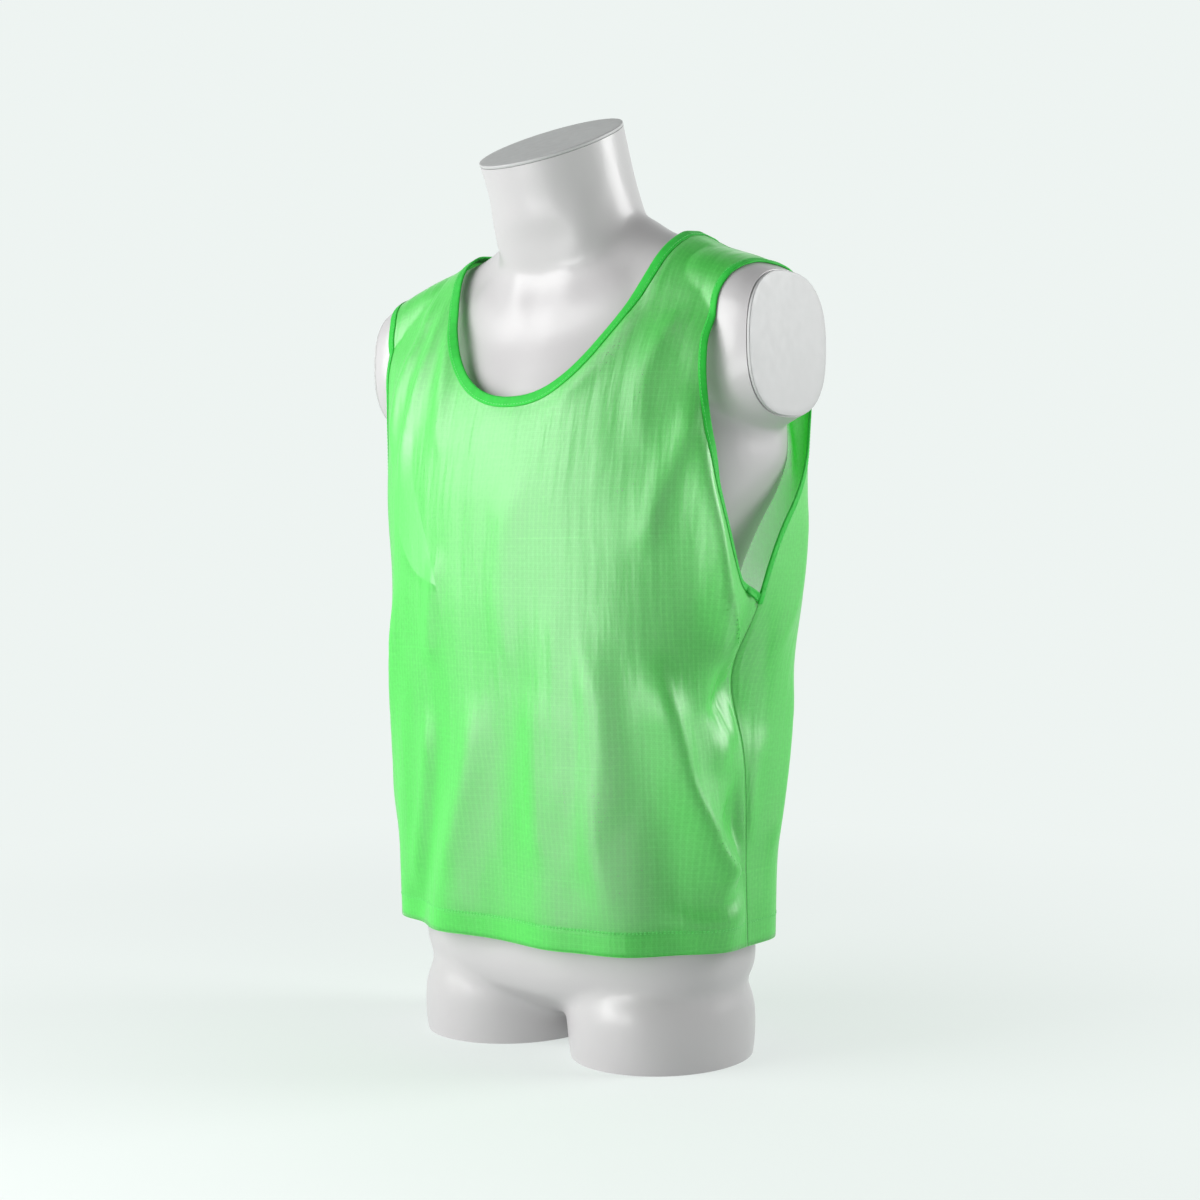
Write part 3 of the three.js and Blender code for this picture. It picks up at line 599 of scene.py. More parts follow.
def knit_material(name, base_cover, depth=0.15, share=1.0, gloss=0.9, sheen=0.5, glow=0.22):
    """Sheer warp-knit mesh: small holes in staggered rows between fine upright wales.

    depth deepens its green, share thins the cover of one side of a wall, and glow is how much of the
    light on the yarns comes through them."""
    n = Nodes(bpy.data.materials.new(name))
    place, across, up = cut_place(n)
    drift = n.math("SUBTRACT", n.noise(place, 0.012, 3.0), 0.5)
    wander = n.math("MULTIPLY", n.math("SUBTRACT", n.noise(place, 0.02, 3.0), 0.5), 5.0)
    drawn = n.math("ADD", across, wander)
    row = n.math("DIVIDE", n.math("ADD", up, n.math("MULTIPLY", wander, 0.6)), HOLE_UP)
    half = n.math("MULTIPLY", n.math("FLOORED_MODULO", n.math("FLOOR", row), 2.0), 0.5)
    u = from_middle(n, n.math("ADD", n.math("DIVIDE", drawn, HOLE_ACROSS), half))
    v = from_middle(n, row)
    reach = n.math("SQRT", n.math("MULTIPLY_ADD", u, u, n.math("MULTIPLY", n.math("MULTIPLY", v, v), 1.3)))
    yarn = n.ramp(reach, 0.28, 0.46)
    wale = from_middle(n, n.math("DIVIDE", drawn, WALE_PITCH))
    line = n.ramp(n.math("ABSOLUTE", wale), 0.22, 0.5)
    course = from_middle(n, n.math("DIVIDE", up, COURSE_PITCH))
    band = n.ramp(n.math("ABSOLUTE", course), 0.34, 0.5)
    pressed = pressed_lines(n, place, across, up)
    # the sides of each panel, 140 to 228 mm out from its centre line: the cloth is made denser there, and its
    # green is deepened there as painted shade
    slack_and_side_shade = n.ramp(n.math("ABSOLUTE", across), 140.0, 228.0)

    cover = base_cover
    weights = ((pressed, 0.06), (slack_and_side_shade, 0.24), (yarn, 0.04), (line, 0.03), (band, 0.03), (drift, 0.08))
    for amount, weight in weights:
        cover = n.math("MULTIPLY_ADD", amount, weight, cover)
    cover = n.math("MULTIPLY", cover, share)
    tone = n.math("ADD", n.ramp(n.noise(place, 0.3, 3.0), 0.3, 0.7, 0.0, 0.4), depth)
    # the green deepens towards the sides of each panel: painted shade, not a change in the dye
    tone = n.math("MULTIPLY_ADD", slack_and_side_shade, 0.5, n.math("MULTIPLY_ADD", line, -0.15, tone))
    colour = n.colour(tone, MESH_TONES)
    height = n.math("MULTIPLY_ADD", line, 0.6, n.math("MULTIPLY", yarn, 0.4))
    height = n.math("MULTIPLY_ADD", pressed, 1.2, height)
    stretched = n.add("Mapping", Vector=place, Scale=(0.045, 0.006, 0.0))
    waves = n.add("Bump", Strength=0.5, Distance=0.006, Height=n.noise(stretched, 1.0, 3.0))
    bump = n.add("Bump", Strength=0.07, Distance=0.0004, Height=height, Normal=waves)
    cloth = n.add("BsdfPrincipled", Base__Color=colour, Roughness=0.45, IOR=1.8, Normal=bump,
                  Specular__IOR__Level=gloss, Sheen__Weight=sheen, Sheen__Roughness=0.3,
                  Sheen__Tint=SHEEN_TINT)
    yarns = n.add("MixShader", glow, cloth, n.add("BsdfTranslucent", colour))
    sheer = n.add("MixShader", cover, n.add("BsdfTransparent"), yarns)
    facing = n.add("LayerWeight", Blend=0.5, out="Facing")
    return n.finish(n.add("MixShader", n.ramp(facing, 0.14, 0.8, 0.0, 0.93, "LINEAR"), sheer, yarns))


def tape_material():
    """Close rib-knit binding tape."""
    n = Nodes(bpy.data.materials.new("binding_tape"))
    place, across, _ = cut_place(n)
    rib = n.math("SINE", n.math("MULTIPLY", across, 2 * math.pi / RIB_PITCH))
    rib = n.math("MULTIPLY_ADD", rib, 0.5, 0.5)
    colour = n.colour(n.ramp(n.noise(place, 0.15, 3.0), 0.3, 0.7, 0.0, 0.35), TAPE_TONES)
    bump = n.add("Bump", Strength=0.35, Distance=0.0003, Height=rib)
    cloth = n.add("BsdfPrincipled", Base__Color=colour, Roughness=0.6, Normal=bump,
                  Specular__IOR__Level=0.35, Sheen__Weight=0.1, Sheen__Roughness=0.4)
    return n.finish(n.add("MixShader", 0.25, cloth, n.add("BsdfTranslucent", colour)))


def plain_material(name, scale, detail, tones, rough=0.45, grain=0.0, ripple=0.0, **sockets):
    """A colour that drifts between two tones, with a grain in its gloss or a ripple where it has one."""
    n = Nodes(bpy.data.materials.new(name))
    place = n.add("TexCoord", out="Object")
    if grain:
        rough = n.ramp(n.noise(place, grain, 3.0), 0.2, 0.8, *rough)
    if ripple:
        sockets["Normal"] = n.add("Bump", Strength=0.05, Distance=0.002, Height=n.noise(place, ripple, 2.0))
    colour = n.colour(n.noise(place, scale, detail), tones)
    return n.finish(n.add("BsdfPrincipled", Base__Color=colour, Roughness=rough, **sockets))


def floor_material(centre_colour, far_colour):
    """Pale floor that turns into the backdrop's tone well away from the object."""
    n = Nodes(bpy.data.materials.new("studio_floor"))
    place = n.add("TexCoord", out="Object")
    away = n.add("VectorMath", place, _operation="LENGTH", out="Value")
    mottle = n.math("MULTIPLY", n.noise(place, 3.0, 3.0), 0.1)
    far = n.ramp(n.math("ADD", away, mottle), 0.25, 1.5, 0.6, 1.0)
    near = n.add("BsdfPrincipled", Base__Color=centre_colour, Roughness=0.8)
    return n.finish(n.add("MixShader", far, near, n.add("Emission", far_colour, 1.0)))


KNIT = knit_material("mesh_knit", 0.50)
KNIT_INSIDE = knit_material("mesh_knit_inside", 0.50, share=0.12, gloss=0.1, sheen=0.0, glow=0.6)
HEM_KNIT = knit_material("hem_knit", 0.85, 0.9)
TAPE = tape_material()
THREAD = plain_material("sewing_thread", 900.0, 2.0, THREAD_TONES, Sheen__Weight=0.3)
# glossy white moulded plastic, and its satin light grey end plates
SHELL = plain_material("form_shell", 6.0, 3.0, SHELL_TONES, (0.36, 0.43), 40.0, 25.0,
                       Specular__IOR__Level=0.5, Coat__Weight=0.25, Coat__Roughness=0.2)
CAP = plain_material("form_cap", 18.0, 3.0, CAP_TONES, (0.38, 0.5), 120.0)

# ---- the form

TRUNK = table("height half_width front back front_square back_square", [
    (30, 50, 34, 44, 2, 2), (44, 108, 62, 76, 2, 2.1), (62, 160, 87, 100, 2.2, 2.4),
    (88, 172, 97, 109, 2.3, 2.6), (128, 172, 99, 107, 2.3, 2.5), (193, 160, 95, 97, 2.3, 2.4),
    (263, 144, 90, 84, 2.3, 2.3), (338, 142, 95, 88, 2.3, 2.3), (400, 149, 104, 99, 2.3, 2.3),
    (445, 157, 111, 110, 2.3, 2.4), (488, 172, 116, 122, 2.2, 2.6), (520, 187, 117, 129, 2.1, 2.8),
    (553, 197, 115, 131, 2, 2.9), (590, 198, 107, 126, 2, 2.8), (628, 190, 92, 113, 2.1, 2.6),
    (668, 172, 75, 93, 2.2, 2.5), (700, 146, 66, 74, 2.2, 2.4), (726, 112, 62, 60, 2.1, 2.2),
    (746, 84, 58, 52, 2, 2),
])
YOKE = table("out y height half_depth half_height", [
    (0, 2, 668, 60, 115), (70, 4, 668, 61, 107), (95, 7, 667, 62, 92.6), (120, 8, 664, 63, 85),
    (150, 8, 656, 62, 83.5), (185, 9, 648, 64, 79.7), (205, 9, 646, 66, 73), (217, 9, 646, 65, 67),
    (222, 9, 646, 63, 64), (240, 9, 646, 61, 62),
])
NECK = table("height y half_width half_depth tilt", [
    (717, -2, 88, 60, 0), (745, -7, 79, 69, 2), (773, -18, 71, 72, 8), (804, -31, 68, 70, 17),
    (841, -47, 69, 71, 26), (870, -60, 70, 72, 30),
])
THIGH = table("height out y half_width half_depth", [
    (-16, 89, 6, 80, 90), (0, 89, 6, 80, 90), (4, 89, 6, 82, 92), (40, 88, 6, 83, 95),
    (66, 86, 6, 77, 88), (96, 82, 6, 64, 72), (130, 78, 6, 46, 54),
])
NECK_CUT = {"height": 841.0, "y": -47.0, "tilt": 26.0, "half_width": 69.0, "half_depth": 71.0}
ARM_CUT = {"out": 222.0, "y": 9.0, "height": 646.0, "half_depth": 63.0, "half_height": 64.0, "square": 2.5}
LOFT_STEP = 6.0
VOXEL = 4.0
SMOOTH_PASSES = 9
PASSES_AFTER_SCULPTING = 3


def finer(rows, by):
    """The table read again at even steps."""
    low, high = rows[by][0], rows[by][-1]
    at = np.linspace(low, high, int((high - low) / LOFT_STEP) + 1)
    return [
        {name: float(read(rows, by, name, value)) if name != by else float(value) for name in rows}
        for value in at
    ]


def turns(count):
    angle = np.linspace(0, 2 * math.pi, count, endpoint=False)
    return np.cos(angle), np.sin(angle)


def oval(centre, wide, deep, power=1.0, count=96):
    """A ring round centre. wide and deep are its half axes, and power squares it off."""
    c, s = ((np.sign(v) * np.abs(v) ** power)[:, None] for v in turns(count))
    return np.array(centre) + c * np.array(wide) + s * np.array(deep)


def trunk_ring(r, count=160):
    front = turns(count)[1] < 0
    depth = np.where(front, r["front"], r["back"])
    power = 2.0 / np.where(front, r["front_square"], r["back_square"])
    return oval((0, 0, r["height"]), (r["half_width"], 0, 0), np.outer(depth, (0, 1, 0)), power, count)


def arm_ring(r, hand, rise=0.0, grow=0.0):
    return oval((hand * (r["out"] + rise), r["y"], r["height"]), (0, r["half_depth"] + grow, 0),
                (0, 0, r["half_height"] + grow), 2.0 / r["square"])


def yoke_ring(r, hand):
    return arm_ring({**r, "square": 2.0 + 0.6 * smoothstep(110, 170, r["out"])}, hand)


def neck_ring(r, rise=0.0, grow=0.0):
    c, s = math.cos(math.radians(r["tilt"])), math.sin(math.radians(r["tilt"]))
    deep = r["half_depth"] + grow
    return oval((0, r["y"] - rise * s, r["height"] + rise * c), (r["half_width"] + grow, 0, 0),
                (0, deep * c, deep * s))


def thigh_ring(r, hand):
    return oval((hand * r["out"], r["y"], r["height"]), (r["half_width"], 0, 0), (0, r["half_depth"], 0))


def column(rows, name, wide, kind=float):
    """One property of every vertex or edge of a mesh."""
    out = np.zeros(len(rows) * wide, kind)
    rows.foreach_get(name, out)
    return out.reshape(-1, wide)


def move_points(mesh, points):
    mesh.vertices.foreach_set("co", points.ravel())
    mesh.update()


def form_object():
    """One smooth skin over the trunk, shoulders, neck and thighs, cut flat at its five ends."""
    yoke_rows = finer(YOKE, "out")
    lofts = [
        [trunk_ring(r) for r in finer(TRUNK, "height")],
        [yoke_ring(r, -1) for r in reversed(yoke_rows[1:])] + [yoke_ring(r, 1) for r in yoke_rows],
        [neck_ring(r) for r in finer(NECK, "height")],
        *([thigh_ring(r, hand) for r in finer(THIGH, "height")] for hand in (-1, 1)),
    ]
    rough = new_object("rough_form", *joined([outward(*lofted(rings)) for rings in lofts]), SHELL, "shell")
    remesh = rough.modifiers.new("skin", "REMESH")
    remesh.mode = "VOXEL"
    remesh.voxel_size = VOXEL * MM
    remesh.adaptivity = 0
    skin = bpy.data.meshes.new_from_object(rough.evaluated_get(bpy.context.evaluated_depsgraph_get()))
    bpy.data.objects.remove(rough)
    edges = column(skin.edges, "vertices", 2, int)
    move_points(skin, relaxed(column(skin.vertices, "co", 3), edges, SMOOTH_PASSES))
    normals = column(skin.vertices, "normal", 3)
    points = sculpted(column(skin.vertices, "co", 3) / MM - FRAME_SHIFT, normals)
    move_points(skin, (relaxed(points, edges, PASSES_AFTER_SCULPTING) + FRAME_SHIFT) * MM)
    made = link("form_shell", skin)
    cut_ends(made)
    skin.materials.clear()
    skin.materials.append(SHELL)
    return made


def relaxed(points, edges, passes, share=0.5):
    """The points moved again and again part of the way to the middle of their neighbours."""
    links = np.bincount(edges.ravel(), minlength=len(points))[:, None]
    points = points.copy()
    for _ in range(passes):
        total = np.zeros_like(points)
        np.add.at(total, edges[:, 0], points[edges[:, 1]])
        np.add.at(total, edges[:, 1], points[edges[:, 0]])
        points += share * (total / links - points)
    return points


# Soft ridges and hollows on the form: a path, how far it stands out, and how wide it is. Those off the
# middle are made again on the other side.
ANATOMY = [
    # collarbones, the hollows over them and the notch between them
    ([(22, -78, 682), (62, -74, 692), (110, -62, 704), (160, -42, 712)], 2.0, 19),
    ([(50, -58, 716), (90, -46, 726)], -2.0, 20),
    ([(0, -72, 704), (0, -78, 694)], -1.2, 17),
    # the cords of the neck
    ([(50, -60, 780), (46, -66, 740), (32, -74, 708), (18, -80, 692)], 2.2, 16),
    ([(0, -66, 760), (0, -76, 720)], -1.2, 18),
    # chest
    ([(66, -118, 588), (100, -108, 582)], 6.0, 44),
    ([(0, -112, 640), (0, -118, 590), (0, -120, 530)], -3.0, 24),
    ([(40, -120, 526), (85, -116, 518), (128, -98, 530)], -4.0, 20),
    ([(158, -66, 640), (152, -84, 600), (160, -80, 570)], -5.0, 16),
    # belly
    ([(0, -116, 500), (0, -104, 420), (0, -95, 340)], -2.0, 16),
    ([(56, -112, 500), (60, -100, 420), (54, -90, 330)], -2.0, 18),
    ([(0, -95, 292), (0, -95, 288)], -3.5, 10),
    # hips and groin
    ([(120, -72, 240), (90, -88, 190), (50, -95, 140), (30, -95, 110)], -3.0, 16),
    # back: spine, shoulder blades, seat
    ([(0, 112, 660), (0, 128, 560), (0, 118, 440), (0, 92, 320), (0, 88, 240)], -6.0, 20),
    ([(60, 118, 640), (70, 126, 590), (62, 128, 550)], 5.0, 32),
    ([(112, 112, 600), (92, 124, 520)], -3.0, 20),
    ([(28, 112, 440), (28, 92, 330), (32, 84, 270)], 3.0, 20),
    ([(0, 96, 170), (0, 108, 130), (0, 104, 80), (0, 80, 62)], -13.0, 14),
    ([(78, 104, 150), (82, 104, 110)], 5.0, 42),
]


def sculpted(points, normals):
    """The skin moved along its normals by the ridges and hollows above."""
    rise = np.zeros(len(points))
    for path, height, width in ANATOMY:
        for hand in (1, -1) if path[0][0] else (1,):
            line = smooth_path(np.array(path) * [hand, 1, 1], LOFT_STEP)
            near = np.min([((points - place) ** 2).sum(axis=1) for place in line], axis=0)
            rise += height * np.exp(-near / width**2)
    return points + normals * rise[:, None]


def cut_ends(made):
    """Cuts the skin flat at the thighs, the arms and the neck, and closes each cut."""
    mesh = bmesh.new()
    mesh.from_mesh(made.data)
    tilt = math.radians(NECK_CUT["tilt"])
    planes = [
        ((0, 0, 0), (0, 0, -1)),
        *(((hand * ARM_CUT["out"] * MM, 0, 0), (hand, 0, 0)) for hand in (1, -1)),
        ((0, (NECK_CUT["y"] + FRAME_SHIFT[1]) * MM, NECK_CUT["height"] * MM),
         (0, -math.sin(tilt), math.cos(tilt))),
    ]
    for place, out in planes:
        geometry = mesh.verts[:] + mesh.edges[:] + mesh.faces[:]
        bmesh.ops.bisect_plane(mesh, geom=geometry, plane_co=place, plane_no=out, clear_outer=True)
        open_edges = [e for e in mesh.edges if e.is_boundary]
        bmesh.ops.holes_fill(mesh, edges=open_edges, sides=0)
    bmesh.ops.recalc_face_normals(mesh, faces=mesh.faces[:])
    mesh.to_mesh(made.data)
    mesh.free()
    made.data.shade_smooth()
    sharpen(made.data, 40)


def sharpen(mesh, degrees):
    """Marks the edges sharp where the faces meet at more than an angle."""
    work = bmesh.new()
    work.from_mesh(mesh)
    for edge in work.edges:
        if len(edge.link_faces) == 2 and edge.calc_face_angle(0.0) > math.radians(degrees):
            edge.smooth = False
    work.to_mesh(mesh)
    work.free()


# how far an end plate stands out, and how far it grows past its outline
PLATE_PROFILE = [(0.0, -1.2), (0.0, -0.4), (0.35, 0.0), (2.2, 0.0), (2.6, -0.12), (2.88, -0.42),
                 (3.0, -0.9), (3.0, -6.0), (3.0, -30.0)]


def plate(name, ring, node):
    """A flat end plate with a rounded edge. ring(rise, grow) gives its outline."""
    rings = [ring(rise + SEAM_GAP, grow) for rise, grow in PLATE_PROFILE]
    made = new_object(name, *outward(*lofted(rings)), CAP, "cap")
    sharpen(made.data, 50)
    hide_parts(node)
    return made


form = form_object()
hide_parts("form_body")

neck_plate = plate("neck_plate", lambda rise, grow: neck_ring(NECK_CUT, rise, grow), "form_neck_cap")
arm_plates = [
    plate(f"arm_plate_{side}", lambda rise, grow, hand=hand: arm_ring(ARM_CUT, hand, rise, grow),
          f"form_arm_cap_{side}")
    for side, hand in (("left", 1), ("right", -1))
]

# ---- the vest

NEAR_FORM = 0.03  # metres within which the form is looked for
form_tree = BVHTree.FromObject(form, bpy.context.evaluated_depsgraph_get())


def clear_of_form(points):
    """Moves points that lie in the form, or too near it, straight out of it."""
    out = points.copy()
    gap = CLEAR_OF_FORM * MM
    for i, p in enumerate((points + FRAME_SHIFT) * MM):
        hit, normal, _, _ = form_tree.find_nearest(p, NEAR_FORM)
        if hit is not None and (Vector(p) - hit).dot(normal) < gap:
            out[i] = np.array(hit + normal * gap) / MM - FRAME_SHIFT
    return out


front = PanelGrid(PanelSurface(-1, FRONT_LEVELS, FRONT_ARMHOLE, FRONT_FOLDS, FRONT_CREASES, 209, 2.25))
back = PanelGrid(PanelSurface(1, BACK_LEVELS, BACK_ARMHOLE, BACK_FOLDS, BACK_CREASES, 62, 2.3))


def store_cut(mesh, values):
    attribute = mesh.attributes.new("cut", "FLOAT_VECTOR", "POINT")
    attribute.data.foreach_set("vector", np.pad(values, ((0, 0), (0, 1))).astype(np.float32).ravel())


def panel_object(name, grid, node):
    points, faces = wall_mesh(grid.place, grid.normals, grid.faces, CLOTH_THICKNESS)
    made = new_object(name, *outward(points, faces), KNIT, "mesh")
    store_cut(made.data, np.tile(grid.cut, (2, 1)))
    made.data.materials.append(KNIT_INSIDE)
    for face in made.data.polygons:
        face.material_index = int(min(face.vertices) >= len(grid.cut))
    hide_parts(node)
    return made


STITCH_SIDES = 6
STITCH_RADIUS = 0.24
# each ring of a stitch: its place along it, its size and its lift
STITCH_RINGS = [(-1.0, 0.35, -0.12), (-0.75, 1.0, 0.1), (0.75, 1.0, 0.1), (1.0, 0.35, -0.12)]


def lengths(line):
    """The way along a line to each of its points."""
    return np.concatenate([[0], np.cumsum(np.linalg.norm(np.diff(line, axis=0), axis=1))])


def add_stitches(piece, line, normals, length=2.4, gap=1.1):
    """Joins short capsules of thread to a piece, end to end along a line on its cloth."""
    run = lengths(line)
    c, s = (turn[:, None] * STITCH_RADIUS for turn in turns(STITCH_SIDES))

    def at(rows, place):
        return np.array([np.interp(place, run, rows[:, k]) for k in range(3)])

    capsules = []
    for middle in np.arange(length, run[-1] - length, length + gap):
        start, centre, end = (at(line, middle + step) for step in (-length / 2, 0, length / 2))
        out = unit(at(normals, middle))
        along = (end - start) / 2
        side = unit(np.cross(out, along))
        capsules.append(lofted([centre + along * share + out * lift + size * (c * side + s * out)
                                for share, size, lift in STITCH_RINGS]))
    made = new_object("stitch_run", *joined(capsules), THREAD, "tape")
    work = bmesh.new()
    work.from_mesh(piece.data)
    seen = len(work.faces)
    work.from_mesh(made.data)
    work.faces.ensure_lookup_table()
    slot = len(piece.data.materials)
    piece.data.materials.append(THREAD)
    for face in work.faces[seen:]:
        face.material_index = slot
        face.smooth = True
    work.to_mesh(piece.data)
    work.free()
    bpy.data.objects.remove(made)


vest_front = panel_object("vest_front", front, "front_panel")
vest_back = panel_object("vest_back", back, "back_panel")

# The turn of the hem round the panel's lower edge: how far out of the cloth, and how far below it.
HEM_TURN = [(-0.85, 0.7), (-0.24, 1.0), (0.15, 0.75), (0.225, 0.25), (-0.05, 0.3)]
HEM_OUTER_DROP = 0.6  # from the middle of the panel in to the two faces of the hem's own layer
HEM_INNER_DROP = 1.1
STITCH_LIFT = 0.05
SECOND_ROW_DOWN = 0.25  # of a row of the grid


def hem_object(name, grid, node):
    """The turned-up hem: a second layer inside the panel that folds round its lower edge."""
    hands = np.concatenate([grid.index[-1][:HEM_ROWS], grid.index[1][:HEM_ROWS, -2::-1]], axis=1)
    place, normal = grid.place[hands], grid.normals[hands]
    down = unit(place[0] - place[1])
    rings = [place[r] - normal[r] * HEM_INNER_DROP for r in reversed(range(HEM_ROWS))]
    rings += [place[0] + normal[0] * out + down * below for out, below in HEM_TURN]
    rings += [place[r] - normal[r] * HEM_OUTER_DROP for r in range(HEM_ROWS)]
    made = new_object(name, *outward(*lofted(np.stack(rings, axis=1))), HEM_KNIT, "mesh")
    levels = np.linspace(0, HEM_HEIGHT, HEM_ROWS)
    around = np.concatenate([levels[::-1], np.zeros(len(HEM_TURN)), levels])
    across = grid.cut[hands[0], 0]
    store_cut(made.data, np.stack([np.repeat(across, len(around)), np.tile(around, len(across))], axis=1))
    top = normal[-1]
    line = place[-1] + top * (CLOTH_THICKNESS / 2 + STITCH_LIFT)
    add_stitches(made, line, top)
    add_stitches(made, line - (place[-1] - place[-2]) * SECOND_ROW_DOWN, top, length=2.0, gap=1.5)
    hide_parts(node)
    return made


vest_front_hem = hem_object("vest_front_hem", front, "front_hem")
vest_back_hem = hem_object("vest_back_hem", back, "back_hem")

SEAM_DROP = 0.9  # from the middle of the panel to the middle of the seam allowance
SEAM_STITCH_DROP = 1.35
SEAM_THICKNESS = 0.8


def seam_allowance(name, hand):
    """The serged side seam inside the vest: two layers turned towards the back."""
    index = back.index[hand][:-ARM_ROWS, : TAPE_COLUMNS + 1]
    place, normal = back.place[index], back.normals[index]
    cells = quads(np.arange(index.size).reshape(index.shape))
    inside = (place - normal * SEAM_DROP).reshape(-1, 3)
    points, faces = wall_mesh(inside, normal.reshape(-1, 3), cells, SEAM_THICKNESS)
    made = new_object(name, *outward(points, faces), HEM_KNIT, "mesh")
    store_cut(made.data, np.tile(back.cut[index].reshape(-1, 2), (2, 1)))
    line = place[:, -1] - normal[:, -1] * SEAM_STITCH_DROP
    add_stitches(made, line, -normal[:, -1], length=2.0, gap=0.8)
    return made


seam_allowances = [seam_allowance(f"side_seam_{side}", hand) for side, hand in (("left", 1), ("right", -1))]

# The outer and the inner face of a folded tape's upper half: share of the way in from its edge line,
# height over the cloth, and how far past the edge.
TAPE_OUTSIDE = [
    (1.00, 0.40, 0.0), (1.02, 0.75, 0.0), (0.96, 1.02, 0.0), (0.75, 1.18, 0.0), (0.40, 1.22, 0.0),
    (0.10, 1.16, 0.0), (0.0, 0.95, 0.55), (0.0, 0.50, 0.95),
]
TAPE_INSIDE = [(0.0, 0.20, 0.25), (0.30, 0.36, 0.0)]
TAPE_FOLD = (0.0, 0.0, 1.10)


def underneath(half):
    return [(share, -height, past) for share, height, past in reversed(half)]


TAPE_SECTION = [*TAPE_OUTSIDE, TAPE_FOLD, *underneath(TAPE_OUTSIDE), *underneath(TAPE_INSIDE), *TAPE_INSIDE]
TAPE_TOP = 3  # the section's point where the stitches run, counted from either end
TAIL_STOPS = [(6.0, 0.9), (12.0, 1.0), (16.0, 1.0), (18.5, 0.96), (19.5, 0.75)]  # reach and size
TAIL_FROM = 3
TAIL_LIFT = 1.1
NECK_EDGE = (SHOULDER_ROWS + 1, -1, -1 - TAPE_COLUMNS)  # rows from the top, edge column, inside column
ARM_EDGE = (ARM_ROWS, 0, TAPE_COLUMNS)


def tape_stops(grid, hand, rows, edge_column, inside_column):
    """Rings of a folded tape along an edge of half a panel."""
    index = grid.index[hand][-rows:]
    edge, inside = index[:, edge_column], index[:, inside_column]
    start, into = grid.place[edge], grid.place[inside] - grid.place[edge]
    rings = []
    for share, height, past in TAPE_SECTION:
        normal = unit(grid.normals[edge] * (1 - min(share, 1)) + grid.normals[inside] * min(share, 1))
        rings.append(start + into * share + normal * height - unit(into) * past)
    return np.stack(rings, axis=1)


def upward(stops):
    return unit(stops[..., TAPE_TOP, :] - stops[..., -1 - TAPE_TOP, :])


def tape_tail(stops, corner, step):
    """The end of a tape where it runs on past the corner it is sewn down at."""
    ring = stops[corner - step * TAIL_FROM]
    middle = ring.mean(axis=0)
    along = unit(stops[corner - step].mean(axis=0) - middle)
    lift = upward(stops[corner]) * TAIL_LIFT
    rings = [middle + (ring - middle) * size + along * reach + lift for reach, size in TAIL_STOPS]
    return outward(*lofted(rings))


def tape_object(name, node, stops, tails=()):
    """A tape round an opening, with a tail at each of some corners: its stop and which way it comes."""
    ends = [tape_tail(stops, *tail) for tail in tails]
    made = new_object(name, *joined([outward(*sweep(stops)), *ends]), TAPE, "tape")
    runs = np.concatenate([lengths(stops.mean(axis=1)), *([reach for reach, _ in TAIL_STOPS] for _ in tails)])
    width = [share * TAPE_WIDTH for share, _, _ in TAPE_SECTION]
    store_cut(made.data, np.stack([np.repeat(runs, len(width)), np.tile(width, len(runs))], axis=1))
    add_stitches(made, stops[:, TAPE_TOP], upward(stops))
    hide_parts(node)
    return made


neck_stops = np.concatenate([
    tape_stops(front, 1, *NECK_EDGE)[::-1],
    tape_stops(front, -1, *NECK_EDGE)[1:],
    tape_stops(back, -1, *NECK_EDGE)[::-1],
    tape_stops(back, 1, *NECK_EDGE)[1:],
])
tapes = [tape_object("neck_binding", "neck_tape", neck_stops)]
for side, hand in (("left", 1), ("right", -1)):
    stops = np.concatenate([tape_stops(front, hand, *ARM_EDGE)[::-1], tape_stops(back, hand, *ARM_EDGE)])
    tails = [(ARM_ROWS - 1, 1), (ARM_ROWS, -1)]
    tapes.append(tape_object(f"armhole_binding_{side}", f"armhole_tape_{side}", stops, tails))

# ---- bodies

vest_pieces = [vest_front, vest_back, vest_front_hem, vest_back_hem, *seam_allowances, *tapes]
for piece in [form, neck_plate, *arm_plates, *vest_pieces]:
    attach(piece, "root")
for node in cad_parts.values():
    node.data.materials.clear()
    node.data.materials.append(SHELL)


def cut_area(grid):
    """The flat area of a panel, in square metres."""
    return float(grid.areas().sum()) * MM * MM


cut_area(front)
cut_area(back)

# ---- floor, light and camera

BACKDROP = (0.855, 0.905, 0.885, 1.0)
FLOOR_TONE = (0.74, 0.78, 0.765, 1.0)
FLOOR_RADIUS = 30.0
CAMERA_AZIMUTH = 38.5
CAMERA_HEIGHT = 0.468
CAMERA_DISTANCE = 1.82
DARK_SIDE = 0.2
DARK_TOP = 0.5
WALL = 0.75


def around(azimuth, distance, height):
    """A place round the object, at an azimuth in degrees from straight ahead of it."""
    turn = math.radians(azimuth)
    return Vector((math.sin(turn) * distance, -math.cos(turn) * distance, height))


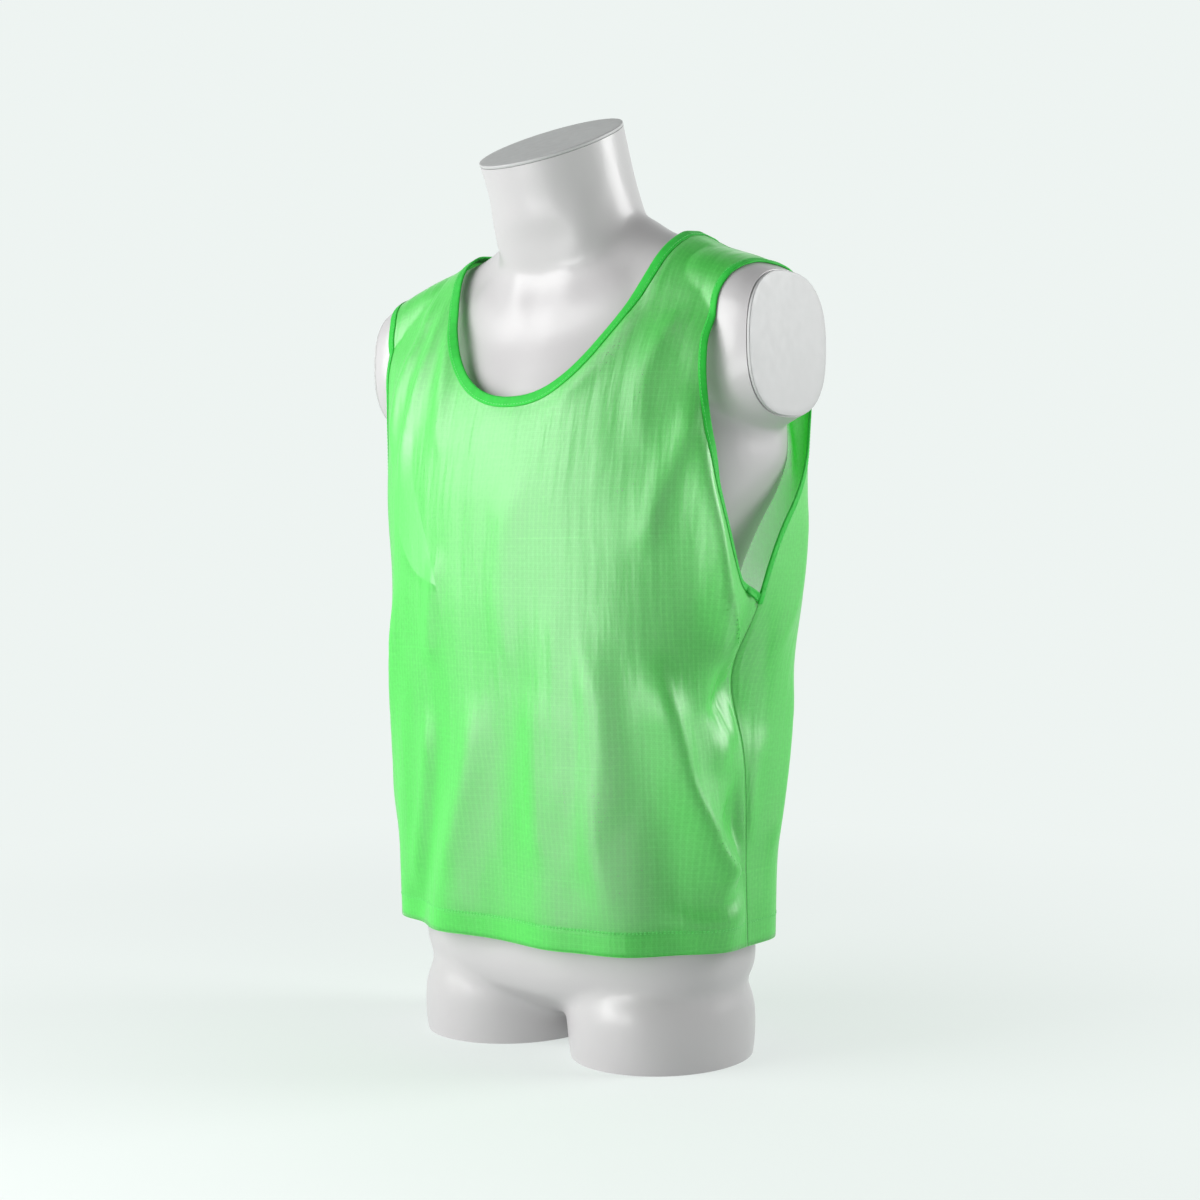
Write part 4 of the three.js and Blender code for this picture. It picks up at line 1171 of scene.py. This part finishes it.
def aim(made, place, direction):
    made.location = place
    made.rotation_mode = "QUATERNION"
    made.rotation_quaternion = direction.to_track_quat("-Z", "Y")


def add_floor():
    mesh = bpy.data.meshes.new("studio_floor")
    ring = oval((0, 0, 0), (FLOOR_RADIUS, 0, 0), (0, FLOOR_RADIUS, 0))
    mesh.from_pydata(ring.tolist(), [], [list(range(len(ring)))])
    mesh.materials.append(floor_material(FLOOR_TONE, BACKDROP))
    link("studio_floor", mesh)


def add_light(name, place, target, size, power):
    data = bpy.data.lights.new(name, "AREA")
    data.shape = "RECTANGLE"
    data.size, data.size_y = size
    data.energy = power
    aim(link(name, data), place, Vector(target) - place)


def add_camera():
    data = bpy.data.cameras.new("camera")
    data.sensor_width = 36.0
    data.lens = 57.33
    data.shift_x = 0.0142
    data.shift_y = -0.0458
    camera = link("camera", data)
    axis = Vector((0, FRAME_SHIFT[1] * MM, CAMERA_HEIGHT))
    out = around(CAMERA_AZIMUTH, 1, 0)
    aim(camera, axis + out * CAMERA_DISTANCE, -out)
    bpy.context.scene.camera = camera


def add_world():
    """A pale studio that darkens overhead and, above a low wall, behind the camera."""
    n = Nodes(bpy.data.worlds.new("studio"))
    toward = n.add("TexCoord", out="Generated")

    def share_of(direction):
        return n.add("VectorMath", toward, direction, _operation="DOT_PRODUCT", out="Value")

    up = share_of((0, 0, 1))
    front = n.ramp(share_of(-around(CAMERA_AZIMUTH, 1, 0)), -0.3, 0.7, DARK_SIDE, 1.0)
    lit = n.math("MAXIMUM", front, n.ramp(up, 0.07, 0.22, WALL, 0.0))
    strength = n.math("MULTIPLY", lit, n.ramp(up, 0.35, 0.9, 1.0, DARK_TOP))
    bpy.context.scene.world = n.finish(n.add("Background", BACKDROP, strength), "OutputWorld")


add_floor()
add_world()
add_camera()
add_light("key", around(-36, 2.4, 1.35), (0, 0, 0.5), (2.0, 1.7), 68)
add_light("side", around(130, 1.9, 1.25), (0, 0, 0.6), (0.8, 1.3), 35)
add_light("fill", around(-3, 1.15, 0.3), (0, -0.1, 0.34), (0.9, 0.35), 6.0)
bpy.context.scene.view_settings.view_transform = "Standard"
